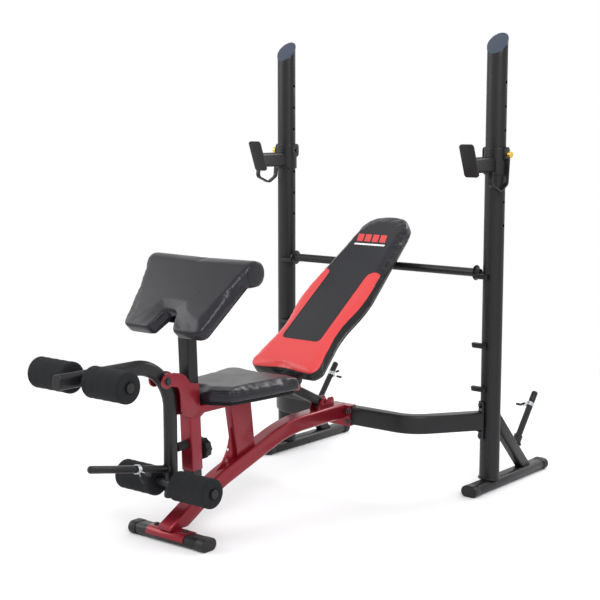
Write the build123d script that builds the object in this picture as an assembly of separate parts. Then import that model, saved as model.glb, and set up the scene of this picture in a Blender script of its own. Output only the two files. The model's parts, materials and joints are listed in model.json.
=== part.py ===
"""Adjustable olympic weight bench with squat uprights, curl pad, leg developer and plate storage.

Every piece is modelled with y = 0 on the uprights' centre line, +Y to the rear, X = 0 on the
bench's centre plane and Z = 0 on the floor. save() then moves it back along Y, so that the
origin lies under the middle of the whole bench.
"""
from build123d import *
import os
from math import atan, cos, degrees, radians, sin, sqrt, tan

os.makedirs("parts", exist_ok=True)

# Overall sizes, in millimetres
RACK_SPACING = 1000.0  # between the centre lines of the uprights
UPRIGHT_HEIGHT = 1714.0  # floor to the high rear tip of an upright
FRONT_REACH = 1690.0  # uprights' centre line forward to the end of the leg developer
REAR_REACH = 408.0  # uprights' centre line back to the end of the rear feet
SEAT_TOP = 503.0
BACKREST_ANGLE = 36.5  # degrees above the horizontal, resting on the support bar

# Gaps between pieces
RUNNING_GAP = 0.08  # radial, a shaft in its bore
SLIDING_GAP = 0.3  # per side, a tube sliding in or on another tube
SOFT_GAP = 0.4  # between a cushion and a piece of another body
BOLT_GAP = 0.25  # radial, a fixed bolt in its hole

# Uprights, oval tube with the long axis across the bench
UPRIGHT_HALF_X = 40.0
UPRIGHT_HALF_Y = 32.0
UPRIGHT_WALL = 2.5
TOP_CUT_FALL = 70.0  # how much lower the front of the slanted top is
CAP_THICKNESS = 6.0
CAP_LIP = 1.2
HOLE_RADIUS = 6.0
HOLE_PITCH = 87.3
HOLE_COUNT = 7
TOP_HOLE_DROP = 182.0  # from the top of the upright to its top hole
FLANGE_LIP = 4.0
FLANGE_THICKNESS = 5.0

# Feet, flat oval tube standing in plastic caps
FOOT_HEIGHT = 42.0
FOOT_TUBE_LIFT = 2.0
REAR_FOOT_WIDTH = 68.0
REAR_FOOT_FRONT = 148.0  # forward of the upright's centre line
FRONT_FOOT_WIDTH = 70.0
FRONT_FOOT_LENGTH = 350.0
FRONT_FOOT_FORWARD = 1210.0
FOOT_WALL = 2.5
CAP_LENGTH = 34.0
CAP_WRAP = 1.6

# Rear braces and their plate storage pegs
BRACE_DEPTH = 50.0
BRACE_WIDTH = 38.0
BRACE_WALL = 2.5
BRACE_TOP_HEIGHT = 304.0
BRACE_FOOT_REACH = 255.0
PEG_RADIUS = 12.5
PEG_LENGTH = 236.0
PEG_TILT = 39.0  # degrees from vertical, leaning back
PEG_BASE_BACK = 196.0
PEG_BASE_HEIGHT = 140.0
PEG_FLANGE_RADIUS = 22.0
PEG_FLANGE_THICKNESS = 5.0
PEG_BOSS = (17.0, 36.0)  # radius and length of the boss round a storage peg's foot
PEG_NOSE = 9.0
PEG_GROOVE = (2.0, 0.6)  # width and depth of the ring groove beyond a spring collar

# Support bar under the backrest, and the three pairs of hooks that take it
BAR_RADIUS = 16.0
BAR_FORWARD = 16.0
BAR_FLANGE_RADIUS = 29.0
BAR_FLANGE_THICKNESS = 3.0
HOOK_WIDTH = 20.0
HOOK_THICKNESS = 6.0
HOOK_LIP = 9.0
MIDDLE_HOOK_HEIGHT = 567.0
LOW_HOOK_HEIGHT = 401.0

# Bowed crossbeam between the uprights
CROSSBEAM_HEIGHT = 70.0
CROSSBEAM_DEPTH = 50.0
CROSSBEAM_WALL = 2.5
CROSSBEAM_LEVEL = 270.0
CROSSBEAM_FORWARD = 258.0
CROSSBEAM_ARM_ANGLE = 54.4  # degrees between an arm and the X axis, seen from above
CROSSBEAM_BEND = 130.0
END_PLATE_WIDTH = 38.0
END_PLATE_HEIGHT = 147.0
END_PLATE_THICKNESS = 6.0
END_PLATE_BOLTS = 118.0

# Main beam under the bench
BEAM_WIDTH = 60.0
BEAM_DEPTH = 58.0
BEAM_WALL = 2.5
BEAM_CORNER = 9.0
BEAM_KNEE = (1000.0, 160.0)  # forward of the uprights, height
BEAM_SHOULDER = (620.0, 284.0)
BEAM_BEND = 600.0
BEAM_NOSE = 34.0  # front of the beam forward of the front foot's centre line
CLAMP_WIDTH = 102.0
CLAMP_BOLT_INSET = 10.5
CLAMP_THICKNESS = 5.0
SADDLE_LENGTH = 172.0
SADDLE_THICKNESS = 4.0
SADDLE_SKIRT = 22.0

# Seat
SEAT_TO_SLEEVE = 4.0  # from the pad's front edge to the sleeve
SEAT_REAR = 722.0  # forward of the uprights, rear edge of the pad
SEAT_REAR_HALF = 163.0
SEAT_FRONT_HALF = 62.0
SEAT_SHOULDER_HALF = 128.0
SEAT_SHOULDER_BACK = 34.0
SEAT_PAD = 44.0
BOARD = 12.0
BOARD_INSET = 14.0
RAIL_HEIGHT = 30.0
RAIL_WIDTH = 50.0
RAIL_WALL = 2.5
POST_TOP = (926.0, 822.0)  # front and rear of the seat post, forward of the uprights
POST_FOOT = (880.0, 790.0)
POST_WIDTH = 32.0
REAR_LEG_SIZE = 34.0
LEG_FOOT_FORWARD = 410.0
GUSSET_HOLES = ((0, 0.62, 6), (10, 0.76, 8), (42, 0.87, 5))  # forward, share of height, radius

# Backrest
BACKREST_LENGTH = 866.0
BACKREST_PAD = 48.0
BACKREST_BOTTOM_HALF = 160.0
BACKREST_WAIST_HALF = 130.0
BACKREST_SHOULDER_HALF = 159.0
BACKREST_TOP_HALF = 106.0
BACKREST_CROWN = 14.0  # rise of the top edge between its corners
BACKREST_CORNER = 84.0
BACKREST_GAP = 80.0  # pad's lower edge to the seat pad, along the bench
SPINE_WIDTH = 60.0
SPINE_DEPTH = 35.0
SPINE_BEYOND_BAR = 42.0
HINGE_RADIUS = 8.0
HINGE_BARREL = 15.0
HINGE_FORWARD = 580.0
HINGE_ABOVE_RAIL = 6.0

# Curl pad post and its sleeve, leaning forward
LEAN = 2.3  # degrees
SLEEVE_FORWARD = 1105.0
SLEEVE_LOW = 227.0
SLEEVE_HIGH = 524.0
POST_SIZE = 46.0
POST_WALL = 2.5
SLEEVE_WALL = 2.8
POST_BELOW_SLEEVE = 38.0
KNOB_RADIUS = 37.0
KNOB_LOBES = 10
KNOB_THICKNESS = 25.0
KNOB_HEIGHT = 288.0
SCREW_RADIUS = 6.0
BUMPER_RADIUS = 15.0
BUMPER_HEIGHT = 318.0

# Curl pad
CURL_ANGLE = 47.6  # degrees above the horizontal
CURL_FRONT = (1254.0, 723.0)  # front edge of the face, forward of the uprights and height
CURL_LENGTH = 278.0  # front edge to the middle of the roll, along the face
CURL_PAD = 46.0
CURL_PLATE = 5.0
CURL_FRONT_HALF = 174.0
CURL_REAR_HALF = 235.0
CURL_ROLL_RADIUS = 44.0
NOTCH_HALF = 54.0
NOTCH_DEPTH = 80.0
NOTCH_TIP_RADIUS = 24.0

# Leg developer
PIVOT = (1249.0, 554.0)  # forward of the uprights, height
PIVOT_RADIUS = 6.0
PIVOT_PLATE = 6.0
PIVOT_PLATE_GAP = 3.0
ARM_DEPTH = 50.0
ARM_WIDTH = 36.0
ARM_WALL = 2.5
ARM_FORWARD = 1208.0
ARM_LOW = 160.0
ARM_HIGH = 608.0
ARM_BEND = 157.0
ARM_CAP = 14.0
UPPER_ROLLER = (1584.0, 608.0)
LOWER_ROLLER = (1223.0, 202.0)
ROLLER_RADIUS = 50.0
ROLLER_LENGTH = 163.0
ROLLER_INNER = 43.0  # from the centre plane to the roller's inner end
AXLE_RADIUS = 12.7
AXLE_CAP_RADIUS = 15.5
AXLE_CAP_THICKNESS = 6.0
LEG_PEG_BASE = 252.0  # height on the arm's front face
LEG_PEG_LENGTH = 348.0
LEG_PEG_RISE = 11.4  # degrees

# Bar catches
CATCH_HEIGHT = 98.0
CATCH_WALL = 5.0
CATCH_ABOVE_HOLE = 24.0
EAR_HEIGHT = 54.0
EAR_RISE = 1.5  # proud of the collar
EAR_DEPTH = 40.0
CATCH_ARM_WIDTH = 44.0
CATCH_ARM_HEIGHT = 57.0
CATCH_ARM_DROP = 8.0  # from the hole's axis down to the cradle
CATCH_ARM_WALL = 3.0
CATCH_REACH = 180.0
LIP_WIDTH = 60.0
LIP_LENGTH = 126.0
LIP_THICKNESS = 6.0
LIP_LEAN = 20.9  # degrees, top forward
STRAP_WIDTH = 18.0
STRAP_THICKNESS = 5.0
PIN_RADIUS = 5.6
PIN_HEAD_RADIUS = 12.5
PIN_HEAD_LENGTH = 15.0
PIN_HEAD_GAP = 7.0  # from the ear to the drawn head, more than the push that locks

# Spring collars on the pegs
COLLAR_WIRE = 3.0
COLLAR_TURNS = 22.0
COLLAR_LEVER = 42.0
STORAGE_COLLAR_AT = 0.7  # of the peg's length
LEG_COLLAR_AT = 0.37

# Fasteners
BOLT_RADIUS = 5.0
BOLT_HEAD_RADIUS = 8.5
BOLT_HEAD_HEIGHT = 6.0
BOLT_SHANK = 18.0

# Values that follow from those above
HALF = RACK_SPACING / 2
HOLE_HEIGHTS = [UPRIGHT_HEIGHT - TOP_HOLE_DROP - i * HOLE_PITCH for i in range(HOLE_COUNT)]
CATCH_HOLE = HOLE_HEIGHTS[HOLE_COUNT // 2]
FOOT_TOP = FOOT_HEIGHT
RAIL_TOP = SEAT_TOP - SEAT_PAD - BOARD
RAIL_LOW = RAIL_TOP - RAIL_HEIGHT
LEAN_DIRECTION = (0, -sin(radians(LEAN)), cos(radians(LEAN)))
SLEEVE_SIZE = POST_SIZE + 2 * (SLIDING_GAP + SLEEVE_WALL)
HINGE = (0, -HINGE_FORWARD, RAIL_TOP + HINGE_ABOVE_RAIL)
BACK_TILT = radians(BACKREST_ANGLE)
BACK_ALONG = Vector(0, cos(BACK_TILT), sin(BACK_TILT))
BACK_NORMAL = Vector(0, -sin(BACK_TILT), cos(BACK_TILT))
HINGE_UNDER_FACE = BACKREST_PAD + BOARD + SPINE_DEPTH / 2
SIDES = (("left", 1), ("right", -1))


def save(name, *solids):
    """Write one node, moved so that the origin is under the middle of the bench."""
    moved = [Pos(0, shift_back(), 0) * piece for piece in solids]
    shape = moved[0] if len(moved) == 1 else Compound(children=moved)
    export_step(shape, f"parts/{name}.step")


def shift_back():
    """From the uprights' centre line to the middle of the whole bench, along Y."""
    peg_tip = Vector(0, PEG_BASE_BACK, 0) + peg_direction() * (PEG_LENGTH - PEG_NOSE)
    peg_rear = peg_tip.Y + (PEG_RADIUS - PEG_NOSE) * cos(radians(PEG_TILT)) + PEG_NOSE
    return (FRONT_REACH - max(REAR_REACH, peg_rear)) / 2


def side_plate(outline, x_low, x_high):
    """Extrude a closed outline of (y, z) points along X."""
    face = Plane.YZ * make_face(Polyline(*outline, close=True))
    return Pos(x_low, 0, 0) * extrude(face, x_high - x_low)


def rod(start, direction, length, sketch, x_dir=(1, 0, 0)):
    """Extrude a sketch from a point in any direction."""
    return extrude(Plane(origin=start, x_dir=x_dir, z_dir=direction) * sketch, length)


def pipe(radius, wall):
    """Round tube section."""
    return Circle(radius) - Circle(radius - wall)


def box_tube(width, height, corner, wall):
    """Rectangular tube section with rounded corners."""
    inner = max(corner - wall, 0.5)
    return RectangleRounded(width, height, corner) - RectangleRounded(
        width - 2 * wall, height - 2 * wall, inner
    )


def oval_tube(length, width, wall):
    """Flat oval tube section."""
    return SlotOverall(length, width) - SlotOverall(length - 2 * wall, width - 2 * wall)


def swept(points, radius, sketch, x_dir):
    """Sweep a section along straight runs joined by arcs."""
    path = FilletPolyline(*points, radius=radius)
    return sweep(Plane(origin=path @ 0, x_dir=x_dir, z_dir=path % 0) * sketch, path=path)


def bolt(head_base, direction):
    """Hexagon bolt: the head stands on head_base, the shank runs the other way."""
    away = Vector(*direction).normalized()
    head = rod(head_base, away, BOLT_HEAD_HEIGHT, RegularPolygon(BOLT_HEAD_RADIUS, 6), side_axis(away))
    top_edges = head.faces().filter_by(Plane(origin=head_base, z_dir=away)).sort_by(
        lambda face: face.center().dot(away)
    )[-1].edges()
    head = chamfer(top_edges, 1.0)
    return head + rod(head_base, -away, BOLT_SHANK, Circle(BOLT_RADIUS), side_axis(away))


def side_axis(direction):
    """A direction square to the given one."""
    return (1, 0, 0) if abs(direction.X) < 0.9 else (0, 1, 0)


def bolt_places():
    """Head seat and outward direction of every fixed bolt of the frame."""
    places = []
    start, away = arm_start(), arm_direction()
    clamp_front = -CROSSBEAM_FORWARD - CROSSBEAM_DEPTH / 2 - CLAMP_THICKNESS
    for side in (1, -1):
        for offset in (END_PLATE_BOLTS / 2, -END_PLATE_BOLTS / 2):
            seat = Vector(side * start.X, start.Y, CROSSBEAM_LEVEL + offset)
            places.append((seat, Vector(side * away.X, away.Y, 0)))
        for offset in (20, -20):
            aside = side * (CLAMP_WIDTH / 2 - CLAMP_BOLT_INSET)
            seat = Vector(aside, clamp_front, CROSSBEAM_LEVEL + offset)
            places.append((seat, Vector(0, -1, 0)))
        seat = Vector(side * (SADDLE_LENGTH / 2 - 18), -FRONT_FOOT_FORWARD, FOOT_HEIGHT + SADDLE_THICKNESS)
        places.append((seat, Vector(0, 0, 1)))
    return places


def drilled(shape):
    """The shape with a clearance hole for every fixed bolt that passes through it."""
    for seat, away in bolt_places():
        shape -= rod(seat + away, -away, BOLT_SHANK + 4, Circle(BOLT_RADIUS + BOLT_GAP), side_axis(away))
    return shape


def upright_plane(rise):
    """Plane of the slanted top, raised by the given distance along its normal."""
    slope = atan(TOP_CUT_FALL / (2 * UPRIGHT_HALF_Y))
    normal = Vector(0, -sin(slope), cos(slope))
    middle = Vector(0, 0, UPRIGHT_HEIGHT - TOP_CUT_FALL / 2)
    return Plane(origin=middle + normal * rise, x_dir=(1, 0, 0), z_dir=normal)


def upright(x):
    """Oval tube with a slanted top, a row of cross holes and a welded base flange."""
    ring = Ellipse(UPRIGHT_HALF_X, UPRIGHT_HALF_Y) - Ellipse(
        UPRIGHT_HALF_X - UPRIGHT_WALL, UPRIGHT_HALF_Y - UPRIGHT_WALL
    )
    tube = Pos(0, 0, FOOT_TOP) * extrude(ring, UPRIGHT_HEIGHT - FOOT_TOP)
    tube = split(tube, bisect_by=upright_plane(-CAP_THICKNESS), keep=Keep.BOTTOM)
    flange = Ellipse(UPRIGHT_HALF_X + FLANGE_LIP, UPRIGHT_HALF_Y + FLANGE_LIP)
    tube += Pos(0, 0, FOOT_TOP) * extrude(
        flange - Ellipse(UPRIGHT_HALF_X - UPRIGHT_WALL, UPRIGHT_HALF_Y - UPRIGHT_WALL), FLANGE_THICKNESS
    )
    for height in HOLE_HEIGHTS:
        tube -= Pos(0, 0, height) * Rot(0, 90, 0) * Cylinder(HOLE_RADIUS, 3 * UPRIGHT_HALF_X)
    return drilled(Pos(x, 0, 0) * tube)


def upright_cap(x):
    """Plastic plug with a flat head on the slanted top."""
    head = Pos(0, 0, UPRIGHT_HEIGHT - 2 * TOP_CUT_FALL) * extrude(
        Ellipse(UPRIGHT_HALF_X + CAP_LIP, UPRIGHT_HALF_Y + CAP_LIP), 3 * TOP_CUT_FALL
    )
    head = split(head, bisect_by=upright_plane(-CAP_THICKNESS), keep=Keep.TOP)
    head = split(head, bisect_by=upright_plane(0), keep=Keep.BOTTOM)
    head = fillet(head.faces().sort_by(Axis.Z)[-1].edges(), 2.0)
    plug = Pos(0, 0, UPRIGHT_HEIGHT - 2 * TOP_CUT_FALL) * extrude(
        Ellipse(UPRIGHT_HALF_X - UPRIGHT_WALL - BOLT_GAP, UPRIGHT_HALF_Y - UPRIGHT_WALL - BOLT_GAP),
        3 * TOP_CUT_FALL,
    )
    plug = split(plug, bisect_by=upright_plane(-CAP_THICKNESS), keep=Keep.BOTTOM)
    return Pos(x, 0, 0) * (head + plug)


def rear_foot(x):
    """Flat oval foot tube under one upright."""
    length = REAR_FOOT_FRONT + REAR_REACH - 2 * CAP_WRAP
    section = oval_tube(REAR_FOOT_WIDTH - 2 * CAP_WRAP, FOOT_HEIGHT - FOOT_TUBE_LIFT, FOOT_WALL)
    start = (x, -REAR_FOOT_FRONT + CAP_WRAP, (FOOT_HEIGHT + FOOT_TUBE_LIFT) / 2)
    return rod(start, (0, 1, 0), length, section)


def foot_cap(tube_width, end, outward):
    """Moulded cap wrapped round the end of a foot tube; it touches the floor."""
    width = tube_width - 2 * CAP_WRAP
    height = FOOT_HEIGHT - FOOT_TUBE_LIFT
    middle = Vector(*end) + Vector(0, 0, (FOOT_HEIGHT + FOOT_TUBE_LIFT) / 2)
    inward = Vector(*outward) * -1
    across = Vector(0, 0, 1).cross(inward)
    shell = rod(middle - Vector(0, 0, CAP_WRAP / 2), inward, CAP_LENGTH,
                SlotOverall(tube_width, height + FOOT_TUBE_LIFT + CAP_WRAP), across)
    shell = fillet(shell.faces().sort_by(Axis(origin=middle, direction=outward))[-1].edges(), 5.0)
    pocket = rod(middle + inward * CAP_WRAP, inward, CAP_LENGTH, SlotOverall(width, height), across)
    sole = Pos(middle.X, middle.Y, -50) * Box(1000, 1000, 100)
    return shell - pocket - sole


def rear_foot_caps(x):
    """Front and rear caps of one rear foot."""
    return [
        foot_cap(REAR_FOOT_WIDTH, (x, -REAR_FOOT_FRONT, 0), (0, -1, 0)),
        foot_cap(REAR_FOOT_WIDTH, (x, REAR_REACH, 0), (0, 1, 0)),
    ]


def brace_line():
    """Start and unit direction of a rear brace, in the (y, z) plane."""
    start = Vector(0, 0, BRACE_TOP_HEIGHT)
    end = Vector(0, BRACE_FOOT_REACH, FOOT_TOP)
    return start, (end - start).normalized()


def rear_brace(x):
    """Diagonal from the back of an upright down to its foot."""
    start, along = brace_line()
    section = box_tube(BRACE_WIDTH, BRACE_DEPTH, 10, BRACE_WALL)
    brace = rod(start, along, 2 * BRACE_FOOT_REACH, section)
    shell = Pos(0, 0, UPRIGHT_HEIGHT / 2) * extrude(
        Ellipse(UPRIGHT_HALF_X, UPRIGHT_HALF_Y), UPRIGHT_HEIGHT, both=True
    )
    flange = Pos(0, 0, FOOT_TOP) * extrude(
        Ellipse(UPRIGHT_HALF_X + FLANGE_LIP, UPRIGHT_HALF_Y + FLANGE_LIP), FLANGE_THICKNESS
    )
    brace = split(brace, bisect_by=Plane.XZ, keep=Keep.BOTTOM)
    brace = split(brace, bisect_by=Plane.XY.offset(FOOT_TOP), keep=Keep.TOP)
    return Pos(x, 0, 0) * (brace - shell - flange)


def peg_direction():
    """Direction of a storage peg."""
    return Vector(0, sin(radians(PEG_TILT)), cos(radians(PEG_TILT)))


def peg(start, direction, length, flange_radius, collar_at):
    """Weight peg: round bar with a welded flange, a round nose and a groove beyond its collar."""
    bar = rod(start, direction, length, Circle(PEG_RADIUS))
    far_face = bar.faces().sort_by(Axis(origin=start, direction=direction))[-1]
    bar = fillet(far_face.edges(), PEG_NOSE)
    width, depth = PEG_GROOVE
    ring = Circle(PEG_RADIUS + 1) - Circle(PEG_RADIUS - depth)
    bar -= rod(start + direction * free_end_start(length, collar_at), direction * -1, width, ring)
    return bar + rod(start, direction, PEG_FLANGE_THICKNESS, Circle(flange_radius))


def free_end_start(length, collar_at):
    """Distance along a peg at which its free end begins, past the collar and the groove."""
    return length * collar_at + COLLAR_TURNS + COLLAR_WIRE + PEG_GROOVE[0]


def storage_peg(x):
    """Peg for spare plates, standing square on the back of a brace."""
    base = Vector(x, PEG_BASE_BACK, PEG_BASE_HEIGHT)
    body = peg(base, peg_direction(), PEG_LENGTH, PEG_FLANGE_RADIUS, STORAGE_COLLAR_AT)
    start, along = brace_line()
    solid_brace = rod(start + Vector(x, 0, 0), along, 2 * BRACE_FOOT_REACH,
                      RectangleRounded(BRACE_WIDTH, BRACE_DEPTH, 10))
    stub = rod(base, peg_direction() * -1, BRACE_DEPTH / 4, Circle(PEG_FLANGE_RADIUS - 4))
    boss = rod(base, peg_direction(), PEG_BOSS[1], Circle(PEG_BOSS[0]))
    return (body + stub + boss) - solid_brace


def spring_collar(base, direction, lever_side):
    """Coiled spring collar that grips a peg, with two levers square to it."""
    inner = PEG_RADIUS + RUNNING_GAP
    axis = Vector(*direction).normalized()
    start = Vector(*base)
    coil = rod(start, axis, COLLAR_TURNS, Circle(inner + COLLAR_WIRE) - Circle(inner))
    side = Vector(*lever_side)
    outward = (side - axis * side.dot(axis)).normalized()
    across = axis.cross(outward)
    for end, lean in ((0.12, 1), (0.88, -1)):
        root = start + axis * (COLLAR_TURNS * end) + outward * (inner + COLLAR_WIRE / 2)
        coil += rod(root, outward + across * 0.35 * lean, COLLAR_LEVER, Circle(COLLAR_WIRE), axis)
    return coil - rod(start - axis * 20, axis, COLLAR_TURNS + 40, Circle(inner))


def backrest_point(along, above, x=0.0):
    """Point on the backrest: distance up the pad from its lower edge, and above its face."""
    return BACKREST_ORIGIN + BACK_ALONG * along + BACK_NORMAL * above + Vector(x, 0, 0)


def backrest_origin():
    """Middle of the lower edge of the backrest's face, from the hinge and the seat."""
    hinge = Vector(*HINGE)
    on_face = hinge + BACK_NORMAL * HINGE_UNDER_FACE
    lower_edge = -SEAT_REAR + BACKREST_GAP
    return on_face + BACK_ALONG * ((lower_edge - on_face.Y) / BACK_ALONG.Y)


BACKREST_ORIGIN = backrest_origin()


def bar_height():
    """Height of the support bar's axis, so that the backrest's spine lies on it."""
    under = HINGE_UNDER_FACE + SPINE_DEPTH / 2 + BAR_RADIUS + SLIDING_GAP
    point = BACKREST_ORIGIN - BACK_NORMAL * under
    return point.Z + (-BAR_FORWARD - point.Y) * tan(BACK_TILT)


BAR_HEIGHT = bar_height()
HOOK_HEIGHTS = (LOW_HOOK_HEIGHT, MIDDLE_HOOK_HEIGHT, BAR_HEIGHT)


def support_bar():
    """Loose round bar that the backrest rests on, with a flange inside each hook."""
    half = HALF - UPRIGHT_HALF_X - 3
    bar = rod((-half, -BAR_FORWARD, BAR_HEIGHT), (1, 0, 0), 2 * half, Circle(BAR_RADIUS), (0, 1, 0))
    bar = chamfer(bar.edges().filter_by(GeomType.CIRCLE), 1.5)
    flange_x = HALF - UPRIGHT_HALF_X - HOOK_WIDTH - 2 - BAR_FLANGE_THICKNESS
    for side in (1, -1):
        centre = (side * flange_x, -BAR_FORWARD, BAR_HEIGHT)
        bar += rod(centre, (side, 0, 0), BAR_FLANGE_THICKNESS, Circle(BAR_FLANGE_RADIUS), (0, 1, 0))
    return bar


def bar_hook(side, height):
    """Shallow cradle welded to the inner face of an upright."""
    inner = BAR_RADIUS + SLIDING_GAP
    outer = inner + HOOK_THICKNESS
    front = -BAR_FORWARD - outer
    rear_stop = -BAR_FORWARD + inner + 2
    low = height - outer
    outline = [
        (front - 4, height - outer + 3), (front + 6, low), (rear_stop, low),
        (rear_stop, height - inner * 0.78), (-BAR_FORWARD, height),
        (-BAR_FORWARD - inner + 1, height), (front - HOOK_LIP, height - 2),
    ]
    inside = HALF - UPRIGHT_HALF_X - HOOK_WIDTH
    cradle = side_plate(outline, inside, HALF)
    cradle -= rod((inside - 1, -BAR_FORWARD, height), (1, 0, 0), RACK_SPACING, Circle(inner), (0, 1, 0))
    cradle -= Pos(HALF, 0, height) * extrude(Ellipse(UPRIGHT_HALF_X, UPRIGHT_HALF_Y), 100, both=True)
    return cradle if side > 0 else mirror(cradle, about=Plane.YZ)


def arm_direction():
    """Direction of the crossbeam's arm at the +X side, from the upright to the bend."""
    angle = radians(CROSSBEAM_ARM_ANGLE)
    return Vector(-cos(angle), -sin(angle), 0)


def arm_start():
    """Where that arm leaves its end plate."""
    away = arm_direction()
    reach = sqrt((UPRIGHT_HALF_X * away.X) ** 2 + (UPRIGHT_HALF_Y * away.Y) ** 2)
    return Vector(HALF, 0, CROSSBEAM_LEVEL) + away * (reach + END_PLATE_THICKNESS)


def crossbeam():
    """Bowed rectangular tube from one upright forward to the bench and back to the other."""
    start, away = arm_start(), arm_direction()
    run = (CROSSBEAM_FORWARD + start.Y) / -away.Y
    knee = start + away * run
    points = [(start.X, start.Y, start.Z), (knee.X, knee.Y, start.Z),
              (-knee.X, knee.Y, start.Z), (-start.X, start.Y, start.Z)]
    section = box_tube(CROSSBEAM_HEIGHT, CROSSBEAM_DEPTH, 9, CROSSBEAM_WALL)
    return drilled(swept(points, CROSSBEAM_BEND, section, (0, 0, 1)))


def end_plate():
    """Plate at the +X end of the crossbeam, flat against the upright, with a gusset."""
    away = arm_direction()
    face = arm_start() - away * END_PLATE_THICKNESS
    plate = rod(face, away, END_PLATE_THICKNESS,
                RectangleRounded(END_PLATE_HEIGHT, END_PLATE_WIDTH, 5), (0, 0, 1))
    low = face + away * END_PLATE_THICKNESS - Vector(0, 0, CROSSBEAM_HEIGHT / 2)
    corner = [low, low + away * 30, low - Vector(0, 0, 10)]
    side = away.cross(Vector(0, 0, 1))
    web = extrude(make_face(Polyline(*corner, close=True)), 3, dir=side, both=True)
    return drilled(plate + web - upright_core(1))


def upright_core(side):
    """Solid oval that stands for one upright where pieces are cut to fit it."""
    core = extrude(Ellipse(UPRIGHT_HALF_X, UPRIGHT_HALF_Y), UPRIGHT_HEIGHT)
    return Pos(side * HALF, 0, 0) * core


def main_beam_points():
    """Centre line of the main beam in (x, y, z), front to rear."""
    knee_y, knee_z = BEAM_KNEE
    shoulder_z = BEAM_SHOULDER[1]
    fall = (knee_z - FOOT_HEIGHT) / (FRONT_FOOT_FORWARD + 8 - knee_y)
    start_y = FRONT_FOOT_FORWARD + 108
    return [(0, -start_y, knee_z - fall * (start_y - knee_y)), (0, -knee_y, knee_z),
            (0, -BEAM_SHOULDER[0], shoulder_z), (0, -CROSSBEAM_FORWARD, shoulder_z + 6)]


def main_beam_body(section):
    """Sweep along the main beam, cut flat on the front foot's saddle and on the rear clamp."""
    beam = swept(main_beam_points(), BEAM_BEND, section, (1, 0, 0))
    clamp_front = CROSSBEAM_FORWARD + CROSSBEAM_DEPTH / 2 + CLAMP_THICKNESS
    beam = split(beam, bisect_by=Plane.XZ.offset(clamp_front), keep=Keep.TOP)
    beam = split(beam, bisect_by=Plane.XZ.offset(FRONT_FOOT_FORWARD + BEAM_NOSE), keep=Keep.BOTTOM)
    return split(beam, bisect_by=Plane.XY.offset(FOOT_HEIGHT + SADDLE_THICKNESS), keep=Keep.TOP)


def main_beam():
    """Arched rectangular tube that carries the bench, closed by a strip at its front end."""
    tube = main_beam_body(box_tube(BEAM_WIDTH, BEAM_DEPTH, BEAM_CORNER, BEAM_WALL))
    nose = Pos(0, -FRONT_FOOT_FORWARD - BEAM_NOSE + BEAM_WALL / 2, 0) * Box(
        2 * BEAM_WIDTH, BEAM_WALL, 4 * FOOT_HEIGHT
    )
    return tube + (main_beam_core() & nose)


def main_beam_core():
    """Solid beam, for cutting pieces that stand on it."""
    return main_beam_body(RectangleRounded(BEAM_WIDTH, BEAM_DEPTH, BEAM_CORNER))


def beam_clamp():
    """Channel that wraps the crossbeam at the rear end of the main beam."""
    front = -CROSSBEAM_FORWARD - CROSSBEAM_DEPTH / 2
    level = CROSSBEAM_LEVEL
    depth = 34
    outer = Pos(0, front - CLAMP_THICKNESS + (depth + CLAMP_THICKNESS) / 2, level) * Box(
        CLAMP_WIDTH, depth + CLAMP_THICKNESS, CROSSBEAM_HEIGHT + 2 * CLAMP_THICKNESS
    )
    outer = fillet(outer.edges().filter_by(Axis.X).group_by(Axis.Y)[0], 3.0)
    inner = Pos(0, front + depth, level) * Box(2 * CLAMP_WIDTH, 2 * depth, CROSSBEAM_HEIGHT)
    return drilled(outer - inner)


def front_foot():
    """Flat oval foot tube across the front of the bench."""
    length = FRONT_FOOT_LENGTH - 2 * CAP_WRAP
    section = oval_tube(FRONT_FOOT_WIDTH - 2 * CAP_WRAP, FOOT_HEIGHT - FOOT_TUBE_LIFT, FOOT_WALL)
    start = (-length / 2, -FRONT_FOOT_FORWARD, (FOOT_HEIGHT + FOOT_TUBE_LIFT) / 2)
    return drilled(rod(start, (1, 0, 0), length, section, (0, 1, 0)))


def front_foot_caps():
    """Caps at both ends of the front foot."""
    half = FRONT_FOOT_LENGTH / 2
    return [foot_cap(FRONT_FOOT_WIDTH, (side * half, -FRONT_FOOT_FORWARD, 0), (side, 0, 0))
            for side in (1, -1)]


def foot_saddle():
    """Bent plate over the middle of the front foot, under the main beam."""
    width = FRONT_FOOT_WIDTH - 2 * CAP_WRAP
    height = FOOT_HEIGHT - FOOT_TUBE_LIFT
    level = (FOOT_HEIGHT + FOOT_TUBE_LIFT) / 2
    outer = SlotOverall(width + 2 * SADDLE_THICKNESS, height + 2 * SADDLE_THICKNESS)
    start = (-SADDLE_LENGTH / 2, -FRONT_FOOT_FORWARD, level)
    shell = rod(start, (1, 0, 0), SADDLE_LENGTH, outer - SlotOverall(width, height), (0, 1, 0))
    return drilled(split(shell, bisect_by=Plane.XY.offset(FOOT_HEIGHT - SADDLE_SKIRT), keep=Keep.TOP))


def seat_post():
    """Tapered box between the main beam and the seat rail, leaning forward."""
    low = BEAM_KNEE[1]
    outline = [(-POST_TOP[0], RAIL_LOW), (-POST_TOP[1], RAIL_LOW),
               (-POST_FOOT[1], low), (-POST_FOOT[0], low)]
    wall = 3.0
    hollow = [(-POST_TOP[0] + wall, RAIL_LOW), (-POST_TOP[1] - wall, RAIL_LOW),
              (-POST_FOOT[1] - wall, low), (-POST_FOOT[0] + wall, low)]
    half = POST_WIDTH / 2
    box = side_plate(outline, -half, half) - side_plate(hollow, -half + wall, half - wall)
    return largest(box - main_beam_core())


def largest(shape):
    """The largest solid of a cut shape."""
    return shape.solids().sort_by(SortBy.VOLUME)[-1]


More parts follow.
